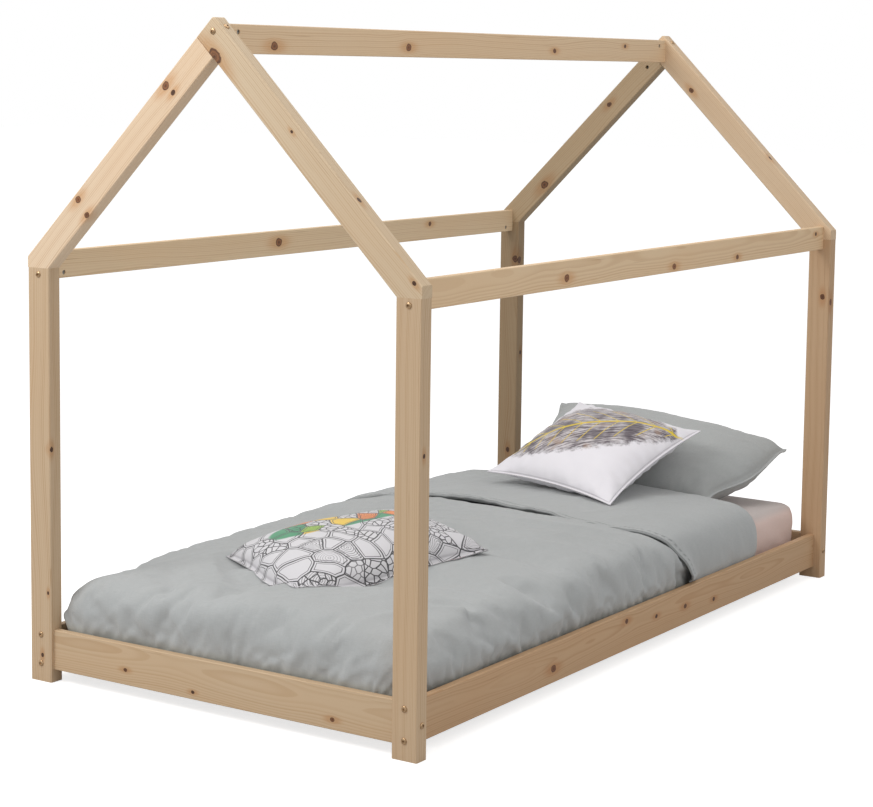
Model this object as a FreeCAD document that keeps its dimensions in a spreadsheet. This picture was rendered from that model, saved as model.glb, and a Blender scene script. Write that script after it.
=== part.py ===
"""House frame bed: four posts, two gables, a ridge and rails of solid pine, with its bedding.

+X is the bed's width, +Y runs from the foot to the head and +Z is up. The origin lies on the
floor under the middle of the bed. All lengths are in millimetres, and angles in degrees.
"""
import FreeCAD, Part
import math
import os
import re

import Sketcher

Vector = FreeCAD.Vector
Rotation = FreeCAD.Rotation
Placement = FreeCAD.Placement

SIZES = [
    # the house frame
    ("bed_width", 1020, "over the posts"),
    ("bed_length", 1970, "over the posts"),
    ("post_width", 60, "across the bed"),
    ("post_depth", 35, "along the bed, and the rafters' thickness"),
    ("post_height", 908, "floor to the rafter's seat"),
    ("rafter_width", 60, "square to the slope"),
    ("roof_pitch", 45, "degrees"),
    ("apex_round", 7, "radius on the gable's top corner"),
    ("frame_chamfer", 2, "on the long edges of posts and rafters"),
    # the boards between the gables
    ("board_thickness", 18, "all rails and the ridge"),
    ("board_chamfer", 1.5, "on the long edges of rails and ridge"),
    ("low_rail_height", 88, "side and end rails"),
    ("low_rail_lift", 28, "floor to the low rails"),
    ("eave_rail_height", 60, ""),
    ("eave_rail_drop", 26, "post top to the eave rails' lower edge"),
    ("ridge_height", 60, ""),
    ("ridge_drop", 15, "gable top to the ridge's top"),
    # where the bolts sit
    ("side_bolt_spacing", 64, "the two bolts at each end of a side rail"),
    ("eave_bolt_height", 12, "above the eave rail's lower edge"),
    ("ridge_bolt_height", 44, "above the ridge's lower edge"),
    # fasteners
    ("bolt_diameter", 6, ""),
    ("bolt_hole", 7, "through posts and into boards"),
    ("bolt_head_diameter", 13, ""),
    ("bolt_head_height", 3, ""),
    ("bolt_stop", 1, "bolt tip to its barrel nut"),
    ("nut_diameter", 10, "barrel nut"),
    ("nut_length", 14, ""),
    ("nut_gap", 0.1, "round the nut and behind it"),
    ("nut_setback", 35, "board end to the barrel nut"),
    # the slatted base
    ("ledger_height", 22, ""),
    ("ledger_width", 20, ""),
    ("ledger_lift", 4, "above the side rail's lower edge"),
    ("ledger_end_gap", 55, "ledger end to the post"),
    ("slat_count", 14, ""),
    ("slat_width", 70, ""),
    ("slat_thickness", 15, ""),
    ("slat_side_gap", 2, "slat end to the side rail"),
    ("slat_end_gap", 12, "first slat to the ledger's end"),
    # the bedding
    ("rest_gap", 0.3, "between soft pieces and what they lie on"),
    ("mattress_side_gap", 5, "to the line of the posts' inner faces"),
    ("mattress_foot_gap", 12, "to the line of the posts' inner faces"),
    ("mattress_head_gap", 30, "to the line of the posts' inner faces"),
    ("mattress_thickness", 130, "in its fitted sheet"),
    ("mattress_corner", 70, "radius seen from above"),
    ("mattress_edge", 10, "chamfer along the upper edge"),
    ("duvet_thickness", 12, "over the mattress edge"),
    ("duvet_side_gap", 2.7, "to the side rails"),
    ("duvet_crown", 24, "rise from the shoulders to the middle"),
    ("duvet_shoulder", 55, "radius along the mattress edge"),
    ("duvet_rise", 20, "from the foot to the fold"),
    ("duvet_foot_round", 70, ""),
    ("duvet_foot_corner", 60, "radius seen from above"),
    ("duvet_end_round", 40, ""),
    ("duvet_end_inside", 20, "the cover's end to the nose of the fold"),
    ("fold_nose_round", 50, ""),
    ("fold_hem_round", 10, "also the radius of its corners seen from above"),
    ("duvet_foot_gap", 0.5, "to the line of the posts' inner faces"),
    ("duvet_head_gap", 295.5, "nose of the fold to the head posts' inner faces"),
    ("duvet_tuck", 12, "below the side rails' upper edge"),
    ("fold_length", 500, "the part folded back"),
    ("fold_thickness", 24, ""),
    ("cushion_draw_in", 10, "middle of each side, from a line between its corners"),
    ("cushion_seam", 4, "thickness at the seam"),
    ("pillow_width", 690, ""),
    ("pillow_depth", 340, ""),
    ("pillow_thickness", 200, ""),
    ("pillow_offset", 50, "to the right of the bed's middle"),
    ("pillow_head_gap", 138, "its middle to the line of the posts' inner faces"),
    ("pillow_lift", 97, "its middle above the mattress"),
    ("square_cushion_side", 440, ""),
    ("square_cushion_thickness", 120, ""),
    ("square_cushion_offset", 10, "to the right of the bed's middle"),
    ("square_cushion_foot_shift", 64.5, "its middle to the nose of the fold"),
    ("square_cushion_lift", 151, "its middle above the mattress"),
    ("oblong_cushion_length", 540, ""),
    ("oblong_cushion_width", 350, ""),
    ("oblong_cushion_thickness", 120, ""),
    ("oblong_cushion_offset", 10, "to the left of the bed's middle"),
    ("oblong_cushion_foot_gap", 470, "its middle to the line of the posts' inner faces"),
    ("oblong_cushion_lift", 73, "its middle above the mattress"),
]

doc = FreeCAD.newDocument("house_frame_bed")
sheet = doc.addObject("Spreadsheet::Sheet", "sizes")
for row, (alias, default, note) in enumerate(SIZES, start=1):
    sheet.set(f"A{row}", alias.replace("_", " "))
    sheet.set(f"B{row}", str(default))
    sheet.setAlias(f"B{row}", alias)
    sheet.set(f"C{row}", note)
doc.recompute()

ALIASES = {alias for alias, _, _ in SIZES}
parts = []


# ---------------------------------------------------------------- expressions and features

def bound(expression):
    """The expression with each size's name turned into a reference to its cell."""
    return re.sub(
        r"[a-z_]+",
        lambda word: f"sizes.{word.group()}" if word.group() in ALIASES else word.group(),
        expression,
    )


def number(expression):
    """What the expression is worth with the sheet's sizes."""
    return float(sheet.evalExpression(bound(expression)))


def place(item, x="0", y="0", z="0", turn=0, axis=Vector(0, 0, 1)):
    """Turns a sub-part about an axis through its own origin and ties its place to the sheet."""
    item.Placement = Placement(Vector(0, 0, 0), Rotation(axis, turn))
    for name, expression in (("x", x), ("y", y), ("z", z)):
        item.setExpression(f"Placement.Base.{name}", bound(expression))


def new_body(label):
    body = doc.addObject("PartDesign::Body", label)
    body.Label = label
    return body


def keep(item):
    """Counts the object as a sub-part that is written to its own file."""
    parts.append(item)
    return item


def new_sketch(body, plane, label, offset="0"):
    """A sketch on one of the body's origin planes, moved along that plane's normal."""
    sketch = body.newObject("Sketcher::SketchObject", label)
    support = next(f for f in body.Origin.OriginFeatures if f.Role == plane)
    sketch.AttachmentSupport = (support, [""])
    sketch.MapMode = "FlatFace"
    sketch.setExpression("AttachmentOffset.Base.z", bound(offset))
    return sketch


def pin_point(sketch, geometry, point, x, y):
    """Fixes one point of a sketch by its two distances from the sketch's origin."""
    for kind, expression in (("DistanceX", x), ("DistanceY", y)):
        rule = Sketcher.Constraint(kind, -1, 1, geometry, point, number(expression))
        index = sketch.addConstraint(rule)
        sketch.setExpression(f"Constraints[{index}]", bound(expression))


def draw_polygon(sketch, corners):
    """A closed outline of straight lines whose corners are pairs of expressions."""
    points = [Vector(number(x), number(y), 0) for x, y in corners]
    first = sketch.GeometryCount
    count = len(points)
    for index, point in enumerate(points):
        sketch.addGeometry(Part.LineSegment(point, points[(index + 1) % count]), False)
    for index in range(count):
        following = first + (index + 1) % count
        sketch.addConstraint(
            Sketcher.Constraint("Coincident", first + index, 2, following, 1)
        )
    for index, (x, y) in enumerate(corners):
        pin_point(sketch, first + index, 1, x, y)


def draw_rectangle(sketch, width, height, low="0"):
    """A rectangle centred on the sketch's vertical axis, standing on the height low."""
    half = f"({width}) / 2"
    top = f"{low} + ({height})"
    draw_polygon(sketch, [(f"-{half}", low), (half, low), (half, top), (f"-{half}", top)])


def draw_circles(sketch, centres, diameter):
    for x, y in centres:
        centre = Vector(number(x), number(y), 0)
        circle = Part.Circle(centre, Vector(0, 0, 1), number(diameter) / 2)
        index = sketch.addGeometry(circle, False)
        rule = sketch.addConstraint(
            Sketcher.Constraint("Diameter", index, number(diameter))
        )
        sketch.setExpression(f"Constraints[{rule}]", bound(diameter))
        pin_point(sketch, index, 3, x, y)


def pad(body, sketch, length, label, symmetric=False):
    feature = body.newObject("PartDesign::Pad", label)
    feature.Profile = sketch
    feature.setExpression("Length", bound(length))
    if symmetric:
        feature.SideType = "Symmetric"
    sketch.Visibility = False
    doc.recompute()
    return feature


def pocket(body, sketch, label, depth=None, reverse=False):
    """Cuts the sketch out of the body, right through or to a depth, and checks that it did."""
    before = body.Shape.Volume
    feature = body.newObject("PartDesign::Pocket", label)
    feature.Profile = sketch
    feature.Reversed = reverse
    if depth is None:
        feature.Type = "ThroughAll"
    else:
        feature.setExpression("Length", bound(depth))
    sketch.Visibility = False
    doc.recompute()
    if not body.Shape.Volume < before - 1e-3:
        raise RuntimeError(f"{body.Label}: {label} cuts nothing")
    return feature


def drill(body, plane, label, centres, diameter, offset, depth=None, reverse=False):
    """Round holes from a plane along its normal's far side, or its near side in reverse."""
    sketch = new_sketch(body, plane, f"{label}_sketch", offset)
    draw_circles(sketch, centres, diameter)
    return pocket(body, sketch, label, depth, reverse)


def straight_edges(shape, wanted):
    """Names of the straight edges for which wanted(direction) is true."""
    names = []
    for index, edge in enumerate(shape.Edges, start=1):
        if edge.Curve.TypeId != "Part::GeomLine":
            continue
        start, end = edge.Vertexes[0].Point, edge.Vertexes[-1].Point
        if wanted((end - start).normalize()):
            names.append(f"Edge{index}")
    return names


def along(direction, axis):
    return abs(direction.dot(axis)) > 0.999


def trim_edges(body, label, radius, names, kind="PartDesign::Fillet"):
    """Fillets, or with another kind chamfers, the named edges of the body's last feature."""
    base = body.Tip
    feature = body.newObject(kind, label)
    feature.Base = (base, names)
    body.Tip = feature
    feature.setExpression(
        "Radius" if kind == "PartDesign::Fillet" else "Size", bound(radius)
    )
    doc.recompute()
    return feature


# ---------------------------------------------------------------- levels that pieces share

POST_X = "(bed_width / 2 - post_width / 2)"
GABLE_Y = "(bed_length / 2 - post_depth / 2)"
LONG_BOARD = "(bed_length - 2 * post_depth)"
END_BOARD = "(bed_width - 2 * post_width)"

# a rafter measured upright, and the plumb cut that lets its lower face meet the post's
# inner edge
RAFTER_UPRIGHT = "(rafter_width / cos(roof_pitch))"
PLUMB_CUT = f"({RAFTER_UPRIGHT} - post_width * tan(roof_pitch))"
APEX = f"(post_height + {PLUMB_CUT} + bed_width / 2 * tan(roof_pitch))"
# where the square end of the right rafter ends, on the left rafter's upper face
LAP_X = f"(-{RAFTER_UPRIGHT} / (2 * tan(roof_pitch)))"
LAP_Z = f"({APEX} - {RAFTER_UPRIGHT} / 2)"

LOW_RAIL_MIDDLE = "(low_rail_height / 2)"
EAVE_LEVEL = "(post_height - eave_rail_drop)"
SIDE_BOLTS = [
    f"({LOW_RAIL_MIDDLE} - side_bolt_spacing / 2)",
    f"({LOW_RAIL_MIDDLE} + side_bolt_spacing / 2)",
]
END_BOLT = LOW_RAIL_MIDDLE
RIDGE_LEVEL = f"({APEX} - ridge_drop - ridge_height)"
NUT_HOLE = "(nut_diameter + 2 * nut_gap)"
NUT_DEPTH = "(nut_length / 2 + nut_gap)"
SLAT_TOP = "(low_rail_lift + ledger_lift + ledger_height + slat_thickness)"

# the bolt that ties the two rafters goes square through the right one, into the middle of
# the left one's end
APEX_BOLT_X = f"({LAP_X} / 2)"
APEX_BOLT_Z = f"({LAP_Z} / 2 + ({APEX} - {RAFTER_UPRIGHT}) / 2)"

FOOT, HEAD = -1, 1
LEFT, RIGHT = -1, 1
END_NAMES = {FOOT: "foot", HEAD: "head"}
SIDE_NAMES = {LEFT: "left", RIGHT: "right"}
CORNERS = [(end, side) for end in (FOOT, HEAD) for side in (LEFT, RIGHT)]


# ---------------------------------------------------------------- posts

def make_post(end, side):
    """An upright post with the holes for the bolts of its low rails and its eave rail."""
    body = new_body(f"post_{END_NAMES[end]}_{SIDE_NAMES[side]}")
    outline = new_sketch(body, "XY_Plane", "section")
    draw_rectangle(outline, "post_width", "post_depth", low="-post_depth / 2")
    pad(body, outline, "post_height", "upright")
    upright = straight_edges(body.Shape, lambda d: along(d, Vector(0, 0, 1)))
    trim_edges(body, "upright_chamfers", "frame_chamfer", upright, "PartDesign::Chamfer")

    side_rail_bolts = [("0", f"low_rail_lift + {height}") for height in SIDE_BOLTS]
    eave_bolt = ("0", f"{EAVE_LEVEL} + eave_bolt_height")
    drill(body, "XZ_Plane", "bolt_holes_along", side_rail_bolts + [eave_bolt],
          "bolt_hole", "post_depth / 2")
    end_bolt = ("0", f"low_rail_lift + {END_BOLT}")
    drill(body, "YZ_Plane", "bolt_hole_across", [end_bolt], "bolt_hole", "post_width / 2")
    place(body, f"{side} * {POST_X}", f"{end} * {GABLE_Y}")
    return keep(body)


# ---------------------------------------------------------------- rafters

def make_rafter(end, side):
    """A rafter, drawn in the gable's own plane.

    The right one runs over the gable's top and ends flush with the left one's upper face.
    The left one stops square against the right one's lower face.
    """
    body = new_body(f"rafter_{END_NAMES[end]}_{SIDE_NAMES[side]}")
    outline = new_sketch(body, "XZ_Plane", "gable_outline")
    top = [("0", APEX)] if side == RIGHT else []
    tip = [] if side == RIGHT else [("0", f"{APEX} - {RAFTER_UPRIGHT}")]
    draw_polygon(
        outline,
        [
            (f"{side} * bed_width / 2", "post_height"),
            (f"{side} * bed_width / 2", f"post_height + {PLUMB_CUT}"),
            *top,
            (LAP_X, LAP_Z),
            *tip,
            (f"{side} * (bed_width / 2 - post_width)", "post_height"),
        ],
    )
    pad(body, outline, "post_depth", "thickness", symmetric=True)
    if side == RIGHT:
        apex = number(APEX)
        corner = [
            f"Edge{index}"
            for index, edge in enumerate(body.Shape.Edges, start=1)
            if edge.BoundBox.ZMin > apex - 1e-3
        ]
        trim_edges(body, "top_corner_round", "apex_round", corner)
    pitch = math.radians(number("roof_pitch"))
    slope = Vector(math.cos(pitch), 0, -side * math.sin(pitch))
    long_edges = straight_edges(body.Shape, lambda d: along(d, slope))
    trim_edges(body, "long_chamfers", "frame_chamfer", long_edges, "PartDesign::Chamfer")

    if side == RIGHT:
        drill(body, "XZ_Plane", "ridge_bolt_hole",
              [("0", f"{RIDGE_LEVEL} + ridge_bolt_height")], "bolt_hole", "post_depth / 2")
    else:
        # the nut's hole starts at the gable's inner face; the plane's normal points to -Y
        nut = (f"{APEX_BOLT_X} - nut_setback * sin(roof_pitch)",
               f"{APEX_BOLT_Z} - nut_setback * cos(roof_pitch)")
        drill(body, "XZ_Plane", "apex_nut_hole", [nut], NUT_HOLE, f"{end} * post_depth / 2",
              f"post_depth / 2 + {NUT_DEPTH}", reverse=end == FOOT)

    # the apex bolt's hole, in a sketch that lies square to the right rafter
    hole = new_sketch(body, "XY_Plane", "apex_bolt_sketch")
    hole.AttachmentOffset = Placement(
        Vector(0, 0, 0), Rotation(Vector(0, 1, 0), number("roof_pitch"))
    )
    hole.setExpression("AttachmentOffset.Rotation.Angle", bound("roof_pitch"))
    outside = "rafter_width" if side == RIGHT else "0"
    hole.setExpression(
        "AttachmentOffset.Base.x", bound(f"{APEX_BOLT_X} + {outside} * sin(roof_pitch)")
    )
    hole.setExpression(
        "AttachmentOffset.Base.z", bound(f"{APEX_BOLT_Z} + {outside} * cos(roof_pitch)")
    )
    draw_circles(hole, [("0", "0")], "bolt_hole")
    pocket(body, hole, "apex_bolt_hole", "rafter_width" if side == RIGHT else "nut_setback")
    place(body, y=f"{end} * {GABLE_Y}")
    return keep(body)


# ---------------------------------------------------------------- boards

def make_board(label, length, height, bolts, nut_side=None):
    """A board that lies along its own Y, standing on its lower edge.

    Each end takes bolts at some heights. With a nut_side, each has a hole for its barrel
    nut from the face on that side.
    """
    body = new_body(label)
    outline = new_sketch(body, "XZ_Plane", "section")
    draw_rectangle(outline, "board_thickness", height)
    pad(body, outline, length, "board", symmetric=True)
    long_edges = straight_edges(body.Shape, lambda d: along(d, Vector(0, 1, 0)))
    trim_edges(body, "long_chamfers", "board_chamfer", long_edges, "PartDesign::Chamfer")
    for end in (FOOT, HEAD):
        # the plane's normal points to -Y, so the far end's holes are cut in reverse
        drill(body, "XZ_Plane", f"{END_NAMES[end]}_bolt_holes",
              [("0", height) for height in bolts], "bolt_hole", f"{-end} * {length} / 2",
              "nut_setback", reverse=end == HEAD)
    if nut_side:
        nuts = [
            (f"{end} * ({length} / 2 - nut_setback)", height)
            for end in (FOOT, HEAD)
            for height in bolts
        ]
        drill(body, "YZ_Plane", "nut_holes", nuts, NUT_HOLE,
              f"{nut_side} * board_thickness / 2", f"board_thickness / 2 + {NUT_DEPTH}",
              reverse=nut_side < 0)
    return body


def make_side_rail(side):
    rail = make_board(
        f"side_rail_{SIDE_NAMES[side]}", LONG_BOARD, "low_rail_height", SIDE_BOLTS
    )
    place(rail, f"{side} * {POST_X}", z="low_rail_lift")
    return keep(rail)


def make_end_rail(end):
    """A low end rail, turned to lie across the bed."""
    rail = make_board(
        f"end_rail_{END_NAMES[end]}", END_BOARD, "low_rail_height", [END_BOLT]
    )
    place(rail, y=f"{end} * {GABLE_Y}", z="low_rail_lift", turn=90)
    return keep(rail)


def make_eave_rail(side):
    rail = make_board(
        f"eave_rail_{SIDE_NAMES[side]}", LONG_BOARD, "eave_rail_height",
        ["eave_bolt_height"], nut_side=-side,
    )
    place(rail, f"{side} * {POST_X}", z=EAVE_LEVEL)
    return keep(rail)


def make_ridge():
    ridge = make_board(
        "ridge_beam", LONG_BOARD, "ridge_height", ["ridge_bolt_height"], nut_side=RIGHT
    )
    place(ridge, z=RIDGE_LEVEL)
    return keep(ridge)


# ---------------------------------------------------------------- slatted base

LEDGER_LENGTH = f"({LONG_BOARD} - 2 * ledger_end_gap)"
LEDGER_X = f"({POST_X} - board_thickness / 2 - ledger_width / 2)"
FIRST_SLAT = f"(-{LEDGER_LENGTH} / 2 + slat_end_gap + slat_width / 2)"
SLAT_SPAN = f"({LEDGER_LENGTH} - 2 * slat_end_gap - slat_width)"
SLAT_LENGTH = f"(2 * ({POST_X} - board_thickness / 2 - slat_side_gap))"


def make_ledger(side):
    """The strip inside a side rail that the slats lie on."""
    body = new_body(f"slat_ledger_{SIDE_NAMES[side]}")
    outline = new_sketch(body, "XZ_Plane", "section")
    draw_rectangle(outline, "ledger_width", "ledger_height")
    pad(body, outline, LEDGER_LENGTH, "strip", symmetric=True)
    place(body, f"{side} * {LEDGER_X}", z="low_rail_lift + ledger_lift")
    return keep(body)


def make_slat(index):
    body = new_body(f"slat_{index + 1:02d}")
    outline = new_sketch(body, "YZ_Plane", "section")
    draw_rectangle(outline, "slat_width", "slat_thickness")
    pad(body, outline, SLAT_LENGTH, "slat", symmetric=True)
    place(body, y=f"{FIRST_SLAT} + {index} * {SLAT_SPAN} / (slat_count - 1)",
          z=f"{SLAT_TOP} - slat_thickness")
    return keep(body)


# ---------------------------------------------------------------- fasteners

def make_bolt(label, through):
    """A flat-headed bolt: its head lies on a face at z = 0, its shank runs down through it."""
    body = new_body(label)
    profile = new_sketch(body, "XZ_Plane", "half_section")
    tip = f"-({through} + nut_setback - nut_diameter / 2 - bolt_stop)"
    draw_polygon(
        profile,
        [
            ("0", tip),
            ("bolt_diameter / 2", tip),
            ("bolt_diameter / 2", "0"),
            ("bolt_head_diameter / 2", "0"),
            ("bolt_head_diameter / 2", "bolt_head_height"),
            ("0", "bolt_head_height"),
        ],
    )
    turned = body.newObject("PartDesign::Revolution", "turned")
    turned.Profile = profile
    turned.ReferenceAxis = (profile, ["V_Axis"])
    turned.Angle = 360
    doc.recompute()
    return body


def make_barrel_nut():
    """A cross dowel, centred on its own origin along Z."""
    body = new_body("barrel_nut")
    outline = new_sketch(body, "XY_Plane", "section")
    draw_circles(outline, [("0", "0")], "nut_diameter")
    pad(body, outline, "nut_length", "barrel", symmetric=True)
    return body


def spot(x, y, z):
    return Vector(number(x), number(y), number(z))


def aim(position, direction):
    """A placement that turns a fastener's own +Z to a direction."""
    return Placement(position, Rotation(Vector(0, 0, 1), direction))


def make_group(label, pattern, placements):
    """Copies of one fastener as separate solids of one sub-part."""
    group = doc.addObject("Part::Feature", label)
    group.Label = label
    group.Shape = Part.makeCompound(
        [pattern.Shape.transformed(at.toMatrix()) for at in placements]
    )
    return keep(group)


def make_fasteners():
    """The bolts at every joint, and the barrel nuts of those that are open to view."""
    end_bolt = make_bolt("end_bolt", "post_depth")
    cross_bolt = make_bolt("cross_bolt", "post_width")
    apex_bolt = make_bolt("apex_bolt", "rafter_width")
    nut = make_barrel_nut()
    across, lengthwise = Vector(1, 0, 0), Vector(0, 1, 0)

    def end_bolts(x, level, height):
        return [
            aim(spot(x, f"{end} * bed_length / 2", f"{level} + {height}"), lengthwise * end)
            for end in (FOOT, HEAD)
        ]

    def board_nuts(x, level, height):
        return [
            aim(spot(x, f"{end} * ({LONG_BOARD} / 2 - nut_setback)", f"{level} + {height}"),
                across)
            for end in (FOOT, HEAD)
        ]

    sides = [f"{side} * {POST_X}" for side in (LEFT, RIGHT)]
    make_group("side_rail_bolts", end_bolt, [
        bolt for x in sides for height in SIDE_BOLTS
        for bolt in end_bolts(x, "low_rail_lift", height)
    ])
    eave = (EAVE_LEVEL, "eave_bolt_height")
    make_group("eave_rail_bolts", end_bolt, [bolt for x in sides for bolt in end_bolts(x, *eave)])
    make_group("eave_rail_nuts", nut, [item for x in sides for item in board_nuts(x, *eave)])
    ridge = (RIDGE_LEVEL, "ridge_bolt_height")
    make_group("ridge_bolts", end_bolt, end_bolts("0", *ridge))
    make_group("ridge_nuts", nut, board_nuts("0", *ridge))
    make_group("end_rail_bolts", cross_bolt, [
        aim(spot(f"{side} * bed_width / 2", f"{end} * {GABLE_Y}", f"low_rail_lift + {END_BOLT}"),
            across * side)
        for end, side in CORNERS
    ])

    pitch = math.radians(number("roof_pitch"))
    square = Vector(math.sin(pitch), 0, math.cos(pitch))
    joints = [spot(APEX_BOLT_X, f"{end} * {GABLE_Y}", APEX_BOLT_Z) for end in (FOOT, HEAD)]
    make_group("apex_bolts", apex_bolt,
               [aim(joint + square * number("rafter_width"), square) for joint in joints])
    make_group("apex_nuts", nut,
               [aim(joint - square * number("nut_setback"), lengthwise) for joint in joints])


# ---------------------------------------------------------------- mattress

MATTRESS_BASE = f"({SLAT_TOP} + rest_gap)"
MATTRESS_WIDTH = f"({END_BOARD} - 2 * mattress_side_gap)"
MATTRESS_FOOT = f"(-{LONG_BOARD} / 2 + mattress_foot_gap)"
MATTRESS_HEAD = f"({LONG_BOARD} / 2 - mattress_head_gap)"


def mattress_block(grow, low, high):
    """The mattress's block, grown by a skin, between two heights: rounded at its corners."""
    width = number(MATTRESS_WIDTH) + 2 * grow
    foot, head = number(MATTRESS_FOOT) - grow, number(MATTRESS_HEAD) + grow
    length = head - foot
    corner = Vector(-width / 2, foot, low)
    block = Part.makeBox(width, length, high - low, corner)
    upright = [edge for edge in block.Edges if edge.BoundBox.ZLength > (high - low) / 2]
    block = block.makeFillet(number("mattress_corner") + grow, upright)
    top = [edge for edge in block.Edges if edge.BoundBox.ZMin > high - 1e-6]
    return block.makeChamfer(number("mattress_edge") + grow / 2, top)


def mattress_levels():
    base = number(MATTRESS_BASE)
    return base, base + number("mattress_thickness")


def make_mattress():
    mattress = doc.addObject("Part::Feature", "mattress")
    mattress.Shape = mattress_block(0, *mattress_levels())
    return keep(mattress)


# ---------------------------------------------------------------- duvet

FOLD_NOSE = f"({LONG_BOARD} / 2 - duvet_head_gap)"


def arc(start, middle, end):
    return Part.Arc(start, middle, end).toShape()


def quarter(start, corner, end):
    """A rounded corner from start to end, bulging towards the corner between them."""
    chord = (start + end) / 2
    return arc(start, chord + (corner - chord) * (math.sqrt(2) - 1), end)


def cover_section(y, half_width, low, edge, crown, shoulder):
    """An upright slice of the duvet across the bed: sides, rounded shoulders and crown."""
    inner = half_width - shoulder
    drop = edge - shoulder
    right = [Vector(half_width, y, low), Vector(half_width, y, drop), Vector(inner, y, edge)]
    left = [Vector(-point.x, y, point.z) for point in right]
    return Part.Face(Part.Wire([
        Part.makeLine(left[0], right[0]),
        Part.makeLine(right[0], right[1]),
        quarter(right[1], Vector(half_width, y, edge), right[2]),
        arc(right[2], Vector(0, y, edge + crown), left[2]),
        quarter(left[2], Vector(-half_width, y, edge), left[1]),
        Part.makeLine(left[1], left[0]),
    ]))


def side_profile(half_width, start, end, low, high, start_round, end_round):
    """A block right across the bed whose two ends round over into its top."""
    x = -half_width - 1
    points = [
        Vector(x, start, low),
        Vector(x, end, low),
        Vector(x, end, high - end_round),
        Vector(x, end - end_round, high),
        Vector(x, start + start_round, high),
        Vector(x, start, high - start_round),
    ]
    wire = Part.Wire([
        Part.makeLine(points[0], points[1]),
        Part.makeLine(points[1], points[2]),
        quarter(points[2], Vector(x, end, high), points[3]),
        Part.makeLine(points[3], points[4]),
        quarter(points[4], Vector(x, start, high), points[5]),
        Part.makeLine(points[5], points[0]),
    ])
    return Part.Face(wire).extrude(Vector(-2 * x, 0, 0))


def rounded_plan(half_width, start, end, low, high, radius):
    block = Part.makeBox(
        2 * half_width, end - start, high - low, Vector(-half_width, start, low)
    )
    return block.makeFillet(radius, [e for e in block.Edges if e.BoundBox.ZLength > 1])


def make_duvet():
    """The duvet over the mattress, its foot tucked in and its head end folded back."""
    _, mattress_top = mattress_levels()
    half_width = number(f"{POST_X} - board_thickness / 2 - duvet_side_gap")
    low = number("low_rail_lift + low_rail_height - duvet_tuck")
    foot = number(f"-{LONG_BOARD} / 2 + duvet_foot_gap")
    nose = number(FOLD_NOSE)
    hem = nose - number("fold_length")
    crown, shoulder = number("duvet_crown"), number("duvet_shoulder")
    edge = mattress_top + number("duvet_thickness")

    def layer(start, end, edge, rise, corner, start_round, end_round):
        """One layer between two places: what its section, side profile and plan share."""
        spare = edge - low
        section = cover_section(start - spare, half_width, low - spare, edge, crown, shoulder)
        body = section.extrude(Vector(0, end - start + 2 * spare, 0))
        slope = math.degrees(math.atan2(rise, end - start))
        body.rotate(Vector(0, start, edge), Vector(1, 0, 0), slope)
        high = edge + rise + crown
        profile = side_profile(half_width, start, end, low, high, start_round, end_round)
        plan = rounded_plan(half_width, start, end, low, high + 1, corner)
        return body.common(profile).common(plan)

    rise = number("duvet_rise")
    cover = layer(foot, nose - number("duvet_end_inside"), edge, rise,
                  number("duvet_foot_corner"), number("duvet_foot_round"),
                  number("duvet_end_round"))
    hem_round = number("fold_hem_round")
    folded = layer(hem, nose, edge + rise + number("fold_thickness"), 0, hem_round, hem_round,
                   number("fold_nose_round"))
    gap = number("rest_gap")
    cavity = mattress_block(gap, low - 50, mattress_top + gap)
    duvet = doc.addObject("Part::Feature", "duvet")
    duvet.Shape = cover.fuse(folded).cut(cavity)
    return keep(duvet)


# ---------------------------------------------------------------- pillow and cushions

def crowned_strip(width, depth, above, below, seam):
    """A long strip whose section is a flat lens: a crown above and below a seam."""
    half = width / 2
    start = -depth
    left = [Vector(-half, start, -seam / 2), Vector(-half, start, seam / 2)]
    right = [Vector(half, start, seam / 2), Vector(half, start, -seam / 2)]
    wire = Part.Wire([
        Part.makeLine(*left),
        arc(left[1], Vector(0, start, above), right[0]),
        Part.makeLine(*right),
        arc(right[1], Vector(0, start, -below), left[0]),
    ])
    return Part.Face(wire).extrude(Vector(0, 2 * depth, 0))


def cushion_shape(width, depth, above, below, draw_in, seam):
    """A crowned cushion with pointed corners and sides drawn in between them."""
    lengthwise = crowned_strip(width, depth, above, below, seam)
    across = crowned_strip(depth, width, above, below, seam)
    across.rotate(Vector(0, 0, 0), Vector(0, 0, 1), 90)
    tall = above + below
    a, b = width / 2, depth / 2
    corners = [Vector(a, -b, -tall), Vector(a, b, -tall), Vector(-a, b, -tall),
               Vector(-a, -b, -tall)]
    middles = [Vector(a - draw_in, 0, -tall), Vector(0, b - draw_in, -tall),
               Vector(draw_in - a, 0, -tall), Vector(0, draw_in - b, -tall)]
    sides = [arc(corners[k], middles[k], corners[(k + 1) % 4]) for k in range(4)]
    plan = Part.Face(Part.Wire(sides)).extrude(Vector(0, 0, 2 * tall))
    return lengthwise.common(across).common(plan)


def rested(shape, supports):
    """The shape with what would sink into its supports taken away, a gap above them."""
    gap = number("rest_gap")
    for support, sideways in supports:
        grown = support.copy()
        grown.translate(Vector(0, sideways * gap, gap))
        shape = shape.cut(grown)
    return max(shape.Solids, key=lambda solid: solid.Volume)


def turned(shape, position, yaw, pitch, roll):
    """Tips a piece about its own axes, then sets it in the bed."""
    moved = shape.copy()
    moved.Placement = Placement(position, Rotation(yaw, pitch, roll))
    return moved


def make_cushion(label, width, depth, above, below, position, angles, supports):
    cushion = doc.addObject("Part::Feature", label)
    raw = cushion_shape(
        width, depth, above, below, number("cushion_draw_in"), number("cushion_seam")
    )
    cushion.Shape = rested(turned(raw, position, *angles), supports)
    return keep(cushion)


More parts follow.
